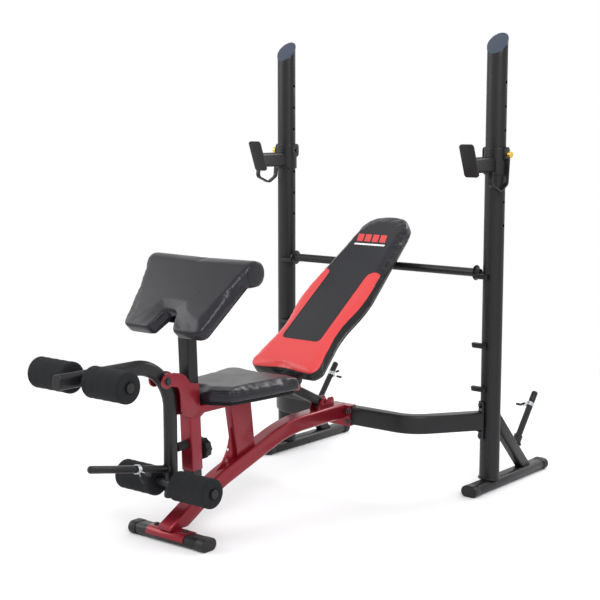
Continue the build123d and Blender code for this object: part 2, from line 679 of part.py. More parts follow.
def seat_gusset():
    """Curved web in front of the seat post, with lightening holes."""
    post = [(-POST_TOP[0], RAIL_LOW), (-POST_TOP[1], RAIL_LOW),
            (-POST_FOOT[1], BEAM_KNEE[1]), (-POST_FOOT[0], BEAM_KNEE[1])]
    height = RAIL_LOW - BEAM_KNEE[1]
    top = (-POST_TOP[0] + 10, RAIL_LOW - height / 3)
    toe = (-BEAM_KNEE[0] - 60, BEAM_KNEE[1] + 8)
    belly = (-POST_TOP[0] - 22, RAIL_LOW - height * 0.72)
    inside = Polyline(toe, (-POST_FOOT[0] + 20, BEAM_KNEE[1]), (-POST_TOP[0] + 50, top[1]), top)
    web = extrude(Plane.YZ * make_face([ThreePointArc(top, belly, toe), inside]), 3, both=True)
    web -= main_beam_core()
    web -= side_plate(post, -40, 40)
    for forward, share, radius in GUSSET_HOLES:
        hole = Pos(0, -POST_TOP[0] - forward, RAIL_LOW - height * share) * Rot(0, 90, 0)
        web -= hole * Cylinder(radius, 20)
    return largest(web)


def seat_rail():
    """Tube under the seat from the sleeve back to the hinge, with two hinge ears."""
    front = -SLEEVE_FORWARD
    rear = HINGE[1]
    section = box_tube(RAIL_WIDTH, RAIL_HEIGHT, 5, RAIL_WALL)
    rail = rod((0, front, (RAIL_TOP + RAIL_LOW) / 2), (0, 1, 0), rear - front, section)
    rail -= sleeve_core()
    hinge_y, hinge_z = HINGE[1], HINGE[2]
    ear_half = SPINE_WIDTH / 2 + SLIDING_GAP + 2
    for side in (1, -1):
        outline = [(hinge_y - 60, RAIL_LOW), (hinge_y + 6, RAIL_LOW), (hinge_y + HINGE_BARREL, hinge_z),
                   (hinge_y - HINGE_BARREL, hinge_z), (hinge_y - 60, RAIL_TOP)]
        ear = side_plate(outline, side * ear_half, side * (ear_half + 5))
        ear += Pos(side * (ear_half + 2.5), hinge_y, hinge_z) * Rot(0, 90, 0) * Cylinder(HINGE_BARREL, 5)
        bridge = Pos(side * (RAIL_WIDTH / 2 + ear_half) / 2, hinge_y - 45, (RAIL_TOP + RAIL_LOW) / 2)
        rail += ear + bridge * Box(ear_half - RAIL_WIDTH / 2 + 2, 24, RAIL_HEIGHT - 8)
    axis = Pos(0, hinge_y, hinge_z) * Rot(0, 90, 0)
    rail -= axis * Cylinder(HINGE_RADIUS + BOLT_GAP, 2 * RACK_SPACING)
    swing = axis * Cylinder(SPINE_DEPTH * 0.9, SPINE_WIDTH + 2 * SLIDING_GAP)
    rail = largest(rail - swing)
    gusset = side_plate([(front, RAIL_LOW), (front + 70, RAIL_LOW), (front, RAIL_LOW - 40)], -3, 3)
    return rail + (gusset - sleeve_core())


def sleeve_core():
    """Solid of the leaning sleeve, for cutting pieces that meet it."""
    base = lean_point(SLEEVE_LOW)
    length = (SLEEVE_HIGH - SLEEVE_LOW) / cos(radians(LEAN))
    return rod(base, LEAN_DIRECTION, length, RectangleRounded(SLEEVE_SIZE, SLEEVE_SIZE, 6))


def lean_point(height):
    """Point on the leaning axis of the curl pad's post."""
    forward = SLEEVE_FORWARD + (height - SLEEVE_LOW) * tan(radians(LEAN))
    return (0, -forward, height)


def rear_leg():
    """Square tube from the seat rail's rear end down to the bracket on the main beam."""
    start, along, run = leg_line()
    leg = rod(start, along, run, box_tube(REAR_LEG_SIZE, REAR_LEG_SIZE, 5, RAIL_WALL))
    leg = split(leg, bisect_by=Plane.XY.offset(RAIL_LOW), keep=Keep.BOTTOM)
    foot = start + along * (run - REAR_LEG_SIZE / 2)
    return leg - rod(foot - Vector(100, 0, 0), (1, 0, 0), 200, Circle(BOLT_RADIUS + BOLT_GAP), (0, 1, 0))


def leg_line():
    """Start, direction and length of the rear leg."""
    top = Vector(0, HINGE[1] - 6, RAIL_LOW + 8)
    end = Vector(0, -LEG_FOOT_FORWARD, BEAM_SHOULDER[1] + BEAM_DEPTH / 2 + 28)
    run = end - top
    return top, run.normalized(), run.length + REAR_LEG_SIZE / 2


def leg_bracket():
    """Two notched ears on the main beam that hold the foot of the rear leg."""
    top, along, run = leg_line()
    foot = top + along * (run - REAR_LEG_SIZE / 2)
    base = BEAM_SHOULDER[1]
    ears = []
    for side in (1, -1):
        inner = side * (REAR_LEG_SIZE / 2 + BOLT_GAP)
        outline = [(foot.Y - 44, base), (foot.Y + 60, base), (foot.Y + 60, foot.Z + 4),
                   (foot.Y + 52, foot.Z + 14), (foot.Y + 26, foot.Z + 14), (foot.Y + 20, foot.Z + 2),
                   (foot.Y + 12, foot.Z + 14), (foot.Y - 10, foot.Z + 16), (foot.Y - 22, foot.Z + 8)]
        ear = side_plate(outline, inner, inner + side * 5) - main_beam_core()
        ear -= rod(foot - Vector(100, 0, 0), (1, 0, 0), 200, Circle(BOLT_RADIUS + BOLT_GAP), (0, 1, 0))
        ears.append(largest(ear))
    return ears


def seat_outline(inset):
    """Plan of the seat: wide at the rear, cut corners at the front."""
    rear = -SEAT_REAR - inset
    front = lean_point(RAIL_TOP)[1] + SLEEVE_SIZE / 2 + SEAT_TO_SLEEVE + inset
    shoulder = front + SEAT_SHOULDER_BACK
    rear_half = SEAT_REAR_HALF - inset
    mid_half = SEAT_SHOULDER_HALF - inset
    front_half = SEAT_FRONT_HALF - inset / 2
    bulge_half = (rear_half + mid_half) / 2 + 7
    bulge_y = (rear + shoulder) / 2
    right = ThreePointArc((mid_half, shoulder), (bulge_half, bulge_y), (rear_half, rear))
    left = ThreePointArc((-rear_half, rear), (-bulge_half, bulge_y), (-mid_half, shoulder))
    back = Line((rear_half, rear), (-rear_half, rear))
    nose = Polyline((-mid_half, shoulder), (-front_half, front), (front_half, front), (mid_half, shoulder))
    face = make_face([right, back, left, nose])
    return fillet(face.vertices(), 14)


def seat_board():
    """Plywood base of the seat."""
    return Pos(0, 0, RAIL_TOP) * extrude(seat_outline(BOARD_INSET), BOARD)


def seat_pad():
    """Seat cushion."""
    pad = Pos(0, 0, RAIL_TOP + BOARD) * extrude(seat_outline(0), SEAT_PAD)
    return fillet(pad.faces().sort_by(Axis.Z)[-1].edges(), 9)


def backrest_plane(above):
    """Plane parallel to the backrest's face; local Y runs up the pad."""
    return Plane(origin=backrest_point(0, above), x_dir=(1, 0, 0), z_dir=BACK_NORMAL)


def backrest_outline(inset):
    """Hourglass outline of the backrest with a broad crown, from its lower edge up."""
    low = BACKREST_BOTTOM_HALF - inset
    length = BACKREST_LENGTH - inset
    corners = [  # x, distance up the pad, radius
        (low - 22, inset, 20), (low, inset + 26, 28),
        (BACKREST_WAIST_HALF - inset, 0.257 * BACKREST_LENGTH, 400),
        (BACKREST_SHOULDER_HALF - inset, 0.44 * BACKREST_LENGTH, 480),
        (BACKREST_TOP_HALF - inset, length - BACKREST_CROWN, BACKREST_CORNER - inset / 2),
    ]
    ring = [(x, y) for x, y, _ in corners] + [(0, length)] + [(-x, y) for x, y, _ in reversed(corners)]
    face = make_face(Polyline(*ring, close=True))
    for x, y, radius in corners:
        for side in (1, -1):
            nearest = face.vertices().sort_by_distance((side * x, y, 0))[0]
            face = fillet(nearest, radius)
    return fillet(face.vertices().sort_by_distance((0, length, 0))[0], 2 * BACKREST_CORNER)


def backrest_board():
    """Plywood behind the backrest cushion."""
    plane = backrest_plane(-BACKREST_PAD - BOARD)
    return extrude(plane * backrest_outline(BOARD_INSET), BOARD)


def backrest_pad():
    """Backrest cushion."""
    pad = extrude(backrest_plane(-BACKREST_PAD) * backrest_outline(0), BACKREST_PAD)
    faces = pad.faces().filter_by(backrest_plane(0))
    top = faces.sort_by(Axis(origin=(0, 0, 0), direction=BACK_NORMAL))[-1]
    return fillet(top.edges(), 9)


def backrest_frame():
    """Spine tube with cross straps under the board and a hinge barrel at its lower end."""
    hinge = Vector(*HINGE)
    start = (hinge - BACKREST_ORIGIN).dot(BACK_ALONG)
    below = -HINGE_UNDER_FACE
    section = box_tube(SPINE_WIDTH, SPINE_DEPTH, 6, 2.5)
    bar = Vector(0, -BAR_FORWARD, BAR_HEIGHT)
    reach = (bar - BACKREST_ORIGIN).dot(BACK_ALONG) + SPINE_BEYOND_BAR - start - 6
    spine = rod(backrest_point(start + 6, below), BACK_ALONG, reach, section)
    strap_under = -BACKREST_PAD - BOARD - 4
    straps = []
    for along in (0.17, 0.43, 0.66):
        plane = backrest_plane(strap_under)
        half = BACKREST_WAIST_HALF * 0.8
        strap = extrude(plane * Pos(0, along * BACKREST_LENGTH) * RectangleRounded(2 * half, 34, 6), 4)
        straps.append(strap)
    cutter = rod(backrest_point(start - 50, below), BACK_ALONG, reach + 200,
                 RectangleRounded(SPINE_WIDTH, SPINE_DEPTH, 6))
    barrel_half = SPINE_WIDTH / 2
    barrel = rod(hinge - Vector(barrel_half, 0, 0), (1, 0, 0), 2 * barrel_half,
                 Circle(HINGE_BARREL), (0, 1, 0))
    frame = spine + barrel
    for strap in straps:
        frame += strap - cutter
    bore = rod(hinge - Vector(100, 0, 0), (1, 0, 0), 200, Circle(HINGE_RADIUS + RUNNING_GAP), (0, 1, 0))
    return frame - bore


def post_sleeve():
    """Square sleeve that guides the curl pad's post."""
    bore = POST_SIZE + 2 * SLIDING_GAP
    length = (SLEEVE_HIGH - SLEEVE_LOW) / cos(radians(LEAN))
    section = RectangleRounded(SLEEVE_SIZE, SLEEVE_SIZE, 6) - RectangleRounded(bore, bore, 4)
    sleeve = rod(lean_point(SLEEVE_LOW), LEAN_DIRECTION, length, section)
    across = lean_normal()
    nut = rod(Vector(*lean_point(KNOB_HEIGHT)), across, SLEEVE_SIZE / 2 + 10, Circle(11))
    nut -= rod(lean_point(SLEEVE_LOW), LEAN_DIRECTION, length, RectangleRounded(bore, bore, 4))
    sleeve += nut
    return sleeve - rod(lean_point(KNOB_HEIGHT), across, 200, Circle(SCREW_RADIUS + RUNNING_GAP))


def lean_normal():
    """Rearward direction square to the leaning sleeve."""
    return Vector(0, cos(radians(LEAN)), sin(radians(LEAN)))


def sleeve_bumper():
    """Rubber stop on the front of the sleeve for the leg developer's arm."""
    start = Vector(*lean_point(BUMPER_HEIGHT)) - lean_normal() * (SLEEVE_SIZE / 2)
    arm_back = -ARM_FORWARD + ARM_DEPTH / 2
    length = abs(arm_back - start.Y) - SOFT_GAP - 0.6
    bumper = rod(start, lean_normal() * -1, length, Circle(BUMPER_RADIUS))
    return fillet(bumper.faces().sort_by(Axis.Y)[0].edges(), 4)


def star_knob():
    """Lobed hand knob with its clamping screw, tip just clear of the post."""
    across = lean_normal()
    centre = Vector(*lean_point(KNOB_HEIGHT))
    lobes = Circle(KNOB_RADIUS * 0.92)
    for i in range(KNOB_LOBES):
        turn = Rot(0, 0, 360 * i / KNOB_LOBES)
        lobes += turn * Pos(KNOB_RADIUS * 0.84, 0) * Circle(KNOB_RADIUS * 0.16)
    start = SLEEVE_SIZE / 2 + 12
    knob = rod(centre + across * start, across, KNOB_THICKNESS, lobes)
    knob += rod(centre + across * (start - 1.5), across, 4, Circle(KNOB_RADIUS * 0.4))
    tip = POST_SIZE / 2 + SLIDING_GAP / 2
    screw = rod(centre + across * tip, across, start - tip + 4, Circle(SCREW_RADIUS))
    return knob + screw


def pivot_plates():
    """Two shaped plates from the sleeve forward to the leg developer's pivot."""
    y, z = -PIVOT[0], PIVOT[1]
    back = lean_point(SLEEVE_HIGH)[1] + 14
    outline = [(y - 18, z + 18), (y + 30, z + 24), (y + 60, z + 18), (y + 84, z + 6),
               (y + 104, z - 20), (back, SLEEVE_HIGH - 2), (back, z - 142), (y + 96, z - 136),
               (y + 80, z - 125), (y + 62, z - 105), (y + 58, z - 50), (y + 50, z - 28),
               (y + 22, z - 20), (y - 18, z - 18)]
    plates = []
    for side in (1, -1):
        inner = side * (ARM_WIDTH / 2 + PIVOT_PLATE_GAP)
        wrap = side * SLEEVE_SIZE / 2
        plate = side_plate(outline, wrap, wrap + side * PIVOT_PLATE)
        hub = Pos(wrap + side * PIVOT_PLATE / 2, y, z) * Rot(0, 90, 0)
        plate += hub * Cylinder(25, PIVOT_PLATE)
        boss = Pos((inner + wrap) / 2, y, z) * Rot(0, 90, 0)
        plate += boss * Cylinder(14, abs(wrap - inner))
        plate -= sleeve_core()
        plate -= hub * Cylinder(PIVOT_RADIUS + BOLT_GAP, 400)
        plates.append(largest(plate))
    return plates


def pivot_bolt():
    """Pivot bolt and lock nut of the leg developer."""
    half = SLEEVE_SIZE / 2 + PIVOT_PLATE
    y, z = -PIVOT[0], PIVOT[1]
    shank = rod((-half - 14, y, z), (1, 0, 0), 2 * half + 14, Circle(PIVOT_RADIUS), (0, 1, 0))
    head = rod((half, y, z), (1, 0, 0), 7, RegularPolygon(11, 6), (0, 1, 0))
    nut = rod((-half - 10, y, z), (1, 0, 0), 10, RegularPolygon(11, 6), (0, 1, 0))
    return shank + head + nut


def hinge_bolt():
    """Hinge bolt and nut of the backrest."""
    half = SPINE_WIDTH / 2 + SLIDING_GAP + 7
    y, z = HINGE[1], HINGE[2]
    shank = rod((-half - 12, y, z), (1, 0, 0), 2 * half + 12, Circle(HINGE_RADIUS), (0, 1, 0))
    head = rod((half, y, z), (1, 0, 0), 7, RegularPolygon(12, 6), (0, 1, 0))
    nut = rod((-half - 10, y, z), (1, 0, 0), 10, RegularPolygon(12, 6), (0, 1, 0))
    return shank + head + nut


def curl_axes():
    """Origin and directions of the curl pad's face."""
    angle = radians(CURL_ANGLE)
    origin = Vector(0, -CURL_FRONT[0], CURL_FRONT[1])
    return origin, Vector(0, cos(angle), sin(angle)), Vector(0, -sin(angle), cos(angle))


def curl_plane(above):
    """Plane parallel to the curl pad's face; local Y runs up the slope."""
    origin, _, normal = curl_axes()
    return Plane(origin=origin + normal * above, x_dir=(1, 0, 0), z_dir=normal)


def curl_outline(inset):
    """Trapezium with rounded front corners and a central notch for the chest post."""
    front = CURL_FRONT_HALF - inset
    grow = (CURL_REAR_HALF - CURL_FRONT_HALF) / CURL_LENGTH
    rear_at = CURL_LENGTH
    rear = front + grow * rear_at
    tip = NOTCH_DEPTH + inset
    mouth = NOTCH_HALF + inset
    face = make_face(Polyline((mouth, inset), (front, inset), (rear, rear_at), (-rear, rear_at),
                              (-front, inset), (-mouth, inset), (-NOTCH_TIP_RADIUS, tip),
                              (NOTCH_TIP_RADIUS, tip), close=True))
    corners = face.vertices().group_by(Axis.Y)
    face = fillet(corners[0].sort_by(Axis.X)[0], 26)
    face = fillet(face.vertices().group_by(Axis.Y)[0].sort_by(Axis.X)[-1], 26)
    mouth_corners = [v for v in face.vertices() if abs(v.Y - inset) < 0.01 and abs(abs(v.X) - mouth) < 1]
    face = fillet(mouth_corners, 14)
    tip_corners = [v for v in face.vertices() if abs(v.Y - tip) < 0.01]
    return fillet(tip_corners, NOTCH_TIP_RADIUS * 0.9)


def curl_roll(radius, half):
    """Cylinder along the top edge of the curl pad."""
    origin, along, normal = curl_axes()
    centre = origin + along * CURL_LENGTH - normal * CURL_ROLL_RADIUS
    return rod(centre - Vector(half, 0, 0), (1, 0, 0), 2 * half, Circle(radius), (0, 1, 0))


def curl_pad():
    """Curl pad cushion: notched slab that ends in a full roll at the top."""
    slab = extrude(curl_plane(-CURL_PAD) * curl_outline(0), CURL_PAD)
    return slab + curl_roll(CURL_ROLL_RADIUS, CURL_REAR_HALF)


def curl_board():
    """Plywood under the curl pad."""
    board = extrude(curl_plane(-CURL_PAD - BOARD) * curl_outline(BOARD_INSET), BOARD)
    return largest(board - curl_roll(CURL_ROLL_RADIUS, 2 * CURL_REAR_HALF))


def curl_post_top():
    """Height on the leaning axis where the post meets the mounting plate."""
    origin, along, normal = curl_axes()
    under = origin - normal * (CURL_PAD + BOARD + CURL_PLATE)
    lean_y = lean_point(under.Z)[1]
    return under.Z + (lean_y - under.Y) * tan(radians(CURL_ANGLE))


def curl_post():
    """Square post that slides in the sleeve, cut to the slope at the top."""
    low = SLEEVE_LOW - POST_BELOW_SLEEVE
    section = box_tube(POST_SIZE, POST_SIZE, 4, POST_WALL)
    post = rod(lean_point(low), LEAN_DIRECTION, UPRIGHT_HEIGHT, section)
    return split(post, bisect_by=curl_plane(-CURL_PAD - BOARD - CURL_PLATE), keep=Keep.BOTTOM)


def curl_bracket():
    """Mounting plate between the post and the curl pad's board."""
    origin, along, normal = curl_axes()
    top = Vector(*lean_point(curl_post_top()))
    distance = (top - origin).dot(along)
    plane = curl_plane(-CURL_PAD - BOARD - CURL_PLATE)
    return extrude(plane * Pos(0, distance) * RectangleRounded(150, 110, 10), CURL_PLATE)


def leg_arm_path():
    """Centre line of the leg developer's arm."""
    return [(0, -ARM_FORWARD, ARM_LOW + ARM_CAP / 2), (0, -ARM_FORWARD, ARM_HIGH),
            (0, -FRONT_REACH + ARM_CAP / 2, ARM_HIGH + 6)]


def leg_arm():
    """Oval tube bent from the lower roller up and forward past the upper roller."""
    arm = swept(leg_arm_path(), ARM_BEND, oval_tube(ARM_DEPTH, ARM_WIDTH, ARM_WALL), (0, 1, 0))
    y, z = -PIVOT[0], PIVOT[1]
    bush = Pos(0, y, z) * Rot(0, 90, 0) * Cylinder(PIVOT_RADIUS + 5, ARM_WIDTH + 2 * PIVOT_PLATE_GAP - 0.6)
    arm += bush
    arm -= Pos(0, y, z) * Rot(0, 90, 0) * Cylinder(PIVOT_RADIUS + RUNNING_GAP, 200)
    for forward, height in (UPPER_ROLLER, LOWER_ROLLER):
        arm -= Pos(0, -forward, height) * Rot(0, 90, 0) * Cylinder(AXLE_RADIUS, 200)
    return arm


def arm_caps():
    """Plastic plugs in both ends of the arm."""
    section = SlotOverall(ARM_DEPTH + 1, ARM_WIDTH + 1)
    low = (0, -ARM_FORWARD, ARM_LOW - ARM_CAP / 2)
    lower = rod(low, (0, 0, 1), ARM_CAP, section, (0, 1, 0))
    lower = fillet(lower.faces().sort_by(Axis.Z)[0].edges(), 4)
    path = leg_arm_path()
    rise = (path[2][2] - path[1][2]) / (path[1][1] - path[2][1])
    forward = Vector(0, -1, rise).normalized()
    front = Vector(*path[2])
    upper = rod(front, forward, ARM_CAP / 2, section, (0, 0, 1))
    return [lower, fillet(upper.faces().sort_by(Axis.Y)[0].edges(), 3)]


def roller_axles():
    """Two tubes through the arm that carry the foam rollers, with washers at the inner ends."""
    half = ROLLER_INNER + ROLLER_LENGTH + 2
    axles = []
    for forward, height in (UPPER_ROLLER, LOWER_ROLLER):
        tube = rod((-half, -forward, height), (1, 0, 0), 2 * half, pipe(AXLE_RADIUS, 2), (0, 1, 0))
        for side in (1, -1):
            washer = Circle(AXLE_CAP_RADIUS) - Circle(AXLE_RADIUS - 1)
            tube += rod((side * (ROLLER_INNER - 3), -forward, height), (side, 0, 0), 2.5, washer, (0, 1, 0))
        axles.append(tube)
    return axles


def axle_caps():
    """Domed plastic caps on the ends of the axles."""
    half = ROLLER_INNER + ROLLER_LENGTH + 2
    caps = []
    for forward, height in (UPPER_ROLLER, LOWER_ROLLER):
        for side in (1, -1):
            cap = rod((side * (half + 0.2), -forward, height), (side, 0, 0), AXLE_CAP_THICKNESS,
                      Circle(AXLE_CAP_RADIUS), (0, 1, 0))
            outer = cap.faces().sort_by(Axis.X)[-1 if side > 0 else 0]
            cap = fillet(outer.edges(), AXLE_CAP_THICKNESS * 0.8)
            plug = rod((side * (half + 0.3), -forward, height), (-side, 0, 0), 14,
                       Circle(AXLE_RADIUS - 2 - BOLT_GAP), (0, 1, 0))
            caps.append(cap + plug)
    return caps


def foam_roller(forward, height, side):
    """Foam sleeve that turns on its axle."""
    section = Circle(ROLLER_RADIUS) - Circle(AXLE_RADIUS + RUNNING_GAP)
    roller = rod((side * ROLLER_INNER, -forward, height), (side, 0, 0), ROLLER_LENGTH, section, (0, 1, 0))
    rims = roller.edges().filter_by(GeomType.CIRCLE).sort_by(SortBy.LENGTH)[-2:]
    return fillet(rims, 6)


def leg_peg_line():
    """Start and direction of the leg developer's weight peg."""
    rise = radians(LEG_PEG_RISE)
    return Vector(0, -ARM_FORWARD - ARM_DEPTH / 2 + 6, LEG_PEG_BASE), Vector(0, -cos(rise), sin(rise))


def leg_peg():
    """Weight peg on the front of the arm."""
    start, along = leg_peg_line()
    body = peg(start, along, LEG_PEG_LENGTH, ARM_WIDTH / 2, LEG_COLLAR_AT)
    solid_arm = rod((0, -ARM_FORWARD, 0), (0, 0, 1), ARM_HIGH, SlotOverall(ARM_DEPTH, ARM_WIDTH), (0, 1, 0))
    return largest(body - solid_arm)


def catch_lip(x):
    """Leaning front plate of a bar catch."""
    lean = radians(LIP_LEAN)
    up = Vector(0, -sin(lean), cos(lean))
    middle = Vector(x, -CATCH_REACH, CATCH_HOLE - 19)
    front = Vector(0, -cos(lean), -sin(lean))
    plane = Plane(origin=middle, x_dir=(1, 0, 0), z_dir=front)
    return extrude(plane * RectangleRounded(LIP_WIDTH, LIP_LENGTH, 11), LIP_THICKNESS), middle, up


def catch_arm(x):
    """Short box arm from the collar forward to the lip."""
    top = CATCH_HOLE - CATCH_ARM_DROP
    level = top - CATCH_ARM_HEIGHT / 2
    section = box_tube(CATCH_ARM_WIDTH, CATCH_ARM_HEIGHT, 12, CATCH_ARM_WALL)
    arm = rod((x, -CATCH_REACH - 60, level), (0, 1, 0), CATCH_REACH + 60, section)
    lean = radians(LIP_LEAN)
    back_of_lip = Plane(origin=(x, -CATCH_REACH, CATCH_HOLE - 19), x_dir=(1, 0, 0),
                        z_dir=(0, -cos(lean), -sin(lean)))
    arm = split(arm, bisect_by=back_of_lip, keep=Keep.BOTTOM)
    oval = Ellipse(UPRIGHT_HALF_X + SLIDING_GAP + 1, UPRIGHT_HALF_Y + SLIDING_GAP + 1)
    return arm - Pos(x, 0, level) * extrude(oval, 200, both=True)


def catch_strap(x, side):
    """Bent strap below the collar that makes a second, lower bar hook on the outer side."""
    outer = side * (UPRIGHT_HALF_X + SLIDING_GAP + CATCH_WALL + 0.5)
    hole = CATCH_HOLE
    points = [(0, -2, hole - 14), (0, -10, hole - 108), (0, -56, hole - 132), (0, -122, hole - 106),
              (0, -116, hole - 62)]
    path = FilletPolyline(*points, radius=16)
    start = Plane(origin=path @ 0, x_dir=(1, 0, 0), z_dir=path % 0)
    strap = sweep(start * Rectangle(STRAP_WIDTH, STRAP_THICKNESS), path=path)
    return Pos(x + outer + side * (STRAP_WIDTH / 2 - 2), 0, 0) * strap


def bar_catch(side):
    """Bar catch: oval collar with two pin ears, box arm, leaning lip and lower strap hook."""
    x = side * HALF
    inner = Ellipse(UPRIGHT_HALF_X + SLIDING_GAP, UPRIGHT_HALF_Y + SLIDING_GAP)
    outer = Ellipse(UPRIGHT_HALF_X + SLIDING_GAP + CATCH_WALL, UPRIGHT_HALF_Y + SLIDING_GAP + CATCH_WALL)
    top = CATCH_HOLE + CATCH_ABOVE_HOLE
    collar = Pos(x, 0, top - CATCH_HEIGHT) * extrude(outer - inner, CATCH_HEIGHT)
    bore = Pos(x, 0, top - 2 * CATCH_HEIGHT) * extrude(inner, 3 * CATCH_HEIGHT)
    for out in (1, -1):
        face = x + out * (UPRIGHT_HALF_X + SLIDING_GAP + CATCH_WALL / 2)
        section = RectangleRounded(EAR_DEPTH, EAR_HEIGHT, 14)
        ear = rod((face, 3, CATCH_HOLE), (out, 0, 0), CATCH_WALL / 2 + EAR_RISE, section, (0, 1, 0))
        collar += ear
    body = collar + catch_arm(x) + catch_lip(x)[0] + catch_strap(x, side)
    body -= bore
    return body - Pos(x, 0, CATCH_HOLE) * Rot(0, 90, 0) * Cylinder(PIN_RADIUS + RUNNING_GAP, 200)


def catch_pin(side):
    """Pull pin in the outer ear, drawn back just clear of the upright."""
    x = side * HALF
    tip = UPRIGHT_HALF_X + SLIDING_GAP + 0.4
    head_base = UPRIGHT_HALF_X + SLIDING_GAP + CATCH_WALL + EAR_RISE + PIN_HEAD_GAP
    stem = rod((x + side * tip, 0, CATCH_HOLE), (side, 0, 0), head_base - tip + 3,
               Circle(PIN_RADIUS), (0, 1, 0))
    head = rod((x + side * head_base, 0, CATCH_HOLE), (side, 0, 0), PIN_HEAD_LENGTH,
               Circle(PIN_HEAD_RADIUS), (0, 1, 0))
    head = fillet(head.edges().filter_by(GeomType.CIRCLE), 4)
    return stem + head


def frame_bolts():
    """All fixed bolts of the frame, as one group."""
    return [bolt(seat, away) for seat, away in bolt_places()]


def build():
    """Make and save every node."""
    for name, side in SIDES:
        save(f"upright_{name}", upright(side * HALF))
        save(f"rear_foot_{name}", rear_foot(side * HALF))
        save(f"rear_brace_{name}", rear_brace(side * HALF))
        save(f"storage_peg_{name}", storage_peg(side * HALF))
        save(f"bar_hooks_{name}", *[bar_hook(side, height) for height in HOOK_HEIGHTS])
        save(f"bar_catch_{name}", bar_catch(side))
        save(f"catch_pin_{name}", catch_pin(side))
        base = Vector(side * HALF, PEG_BASE_BACK, PEG_BASE_HEIGHT)
        base += peg_direction() * (PEG_LENGTH * STORAGE_COLLAR_AT)
        save(f"peg_collar_{name}", spring_collar(base, peg_direction(), (-side, 0, 0)))
        save(f"foam_roller_upper_{name}", foam_roller(*UPPER_ROLLER, side))
        save(f"foam_roller_lower_{name}", foam_roller(*LOWER_ROLLER, side))
    save("upright_caps", upright_cap(HALF), upright_cap(-HALF))
    save("foot_caps", *rear_foot_caps(HALF), *rear_foot_caps(-HALF), *front_foot_caps())
    save("support_bar", support_bar())
    save("crossbeam", crossbeam())
    save("crossbeam_plates", end_plate(), mirror(end_plate(), about=Plane.YZ))
    save("main_beam", main_beam())
    save("beam_clamp", beam_clamp())
    save("front_foot", front_foot())
    save("foot_saddle", foot_saddle())
    save("seat_post", seat_post())
    save("seat_gusset", seat_gusset())
    save("seat_rail", seat_rail())
    save("rear_leg", rear_leg())
    save("leg_bracket", *leg_bracket())
    save("seat_board", seat_board())
    save("seat_pad", seat_pad())
    save("hinge_bolt", hinge_bolt())
    save("backrest_frame", backrest_frame())
    save("backrest_board", backrest_board())
    save("backrest_pad", backrest_pad())
    save("post_sleeve", post_sleeve())
    save("sleeve_bumper", sleeve_bumper())
    save("star_knob", star_knob())
    save("pivot_plates", *pivot_plates())
    save("pivot_bolt", pivot_bolt())
    save("curl_post", curl_post())
    save("curl_bracket", curl_bracket())
    save("curl_board", curl_board())
    save("curl_pad", curl_pad())
    save("leg_arm", leg_arm())
    save("arm_caps", *arm_caps())
    save("roller_axles", *roller_axles())
    save("axle_caps", *axle_caps())
    save("leg_peg", leg_peg())
    start, along = leg_peg_line()
    base = start + along * (LEG_PEG_LENGTH * LEG_COLLAR_AT)
    save("leg_peg_collar", spring_collar(base, along, (1, 0, -0.2)))
    save("frame_bolts", *frame_bolts())


build()
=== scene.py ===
"""Looks of an adjustable weight bench with squat uprights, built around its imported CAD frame.

Lengths are in metres in the row frame: +Z up, +Y to the rear, X = 0 on the bench's centre plane.
"""
import bpy
import json
from math import atan2, cos, pi, radians, sin
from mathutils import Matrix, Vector
from mathutils.bvhtree import BVHTree


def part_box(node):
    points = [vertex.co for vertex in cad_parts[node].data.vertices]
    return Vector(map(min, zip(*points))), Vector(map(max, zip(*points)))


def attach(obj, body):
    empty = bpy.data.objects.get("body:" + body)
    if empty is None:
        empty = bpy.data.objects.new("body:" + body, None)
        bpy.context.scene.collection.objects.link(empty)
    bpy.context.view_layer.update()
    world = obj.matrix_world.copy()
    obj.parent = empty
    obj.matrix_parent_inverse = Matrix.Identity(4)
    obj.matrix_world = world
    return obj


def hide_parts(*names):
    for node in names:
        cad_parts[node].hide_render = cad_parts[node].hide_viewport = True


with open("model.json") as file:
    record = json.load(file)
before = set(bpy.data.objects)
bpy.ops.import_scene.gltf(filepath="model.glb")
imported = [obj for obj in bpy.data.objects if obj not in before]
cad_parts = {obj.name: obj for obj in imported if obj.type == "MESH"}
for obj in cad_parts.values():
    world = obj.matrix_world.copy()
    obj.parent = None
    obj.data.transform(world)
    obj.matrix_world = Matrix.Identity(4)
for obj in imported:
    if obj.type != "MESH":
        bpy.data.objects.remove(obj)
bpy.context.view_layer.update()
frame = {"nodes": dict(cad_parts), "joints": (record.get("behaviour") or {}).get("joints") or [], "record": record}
NODES = frame["nodes"]
JOINTS = {joint["name"]: joint for joint in frame["joints"]}

# Looks, in metres and linear colour
BLACK_PAINT = (0.0055, 0.0055, 0.0065)
RED_PAINT = (0.21, 0.006, 0.016)
VINYL = (0.0095, 0.0098, 0.0135)
# darker vinyl, for the welts and as painted shade on the backrest's side panel
VINYL_WELT_AND_SHADED_SIDE = (0.006, 0.006, 0.007)
CORAL = (0.60, 0.050, 0.052)
WHITE = (0.8, 0.8, 0.8)
CAP_BLUE = (0.042, 0.055, 0.082)
FOAM = (0.008, 0.0085, 0.010)
ZINC = (0.62, 0.64, 0.67)
DARK_STEEL = (0.05, 0.05, 0.055)
GOLD = (0.78, 0.50, 0.10)
RUBBER = (0.008, 0.008, 0.009)
BACKING = (0.008, 0.008, 0.009)
GLOSS = 0.32  # specular level of paints, vinyl and plastics

COAT_ROUGHNESS = 0.12
RELIEF_GAIN = 10
RELIEF_DEPTH = 0.0004
PEBBLE_SCALE = 420.0
VINYL_RELIEF = 0.012
VINYL_ROUGHNESS = (0.27, 0.36)

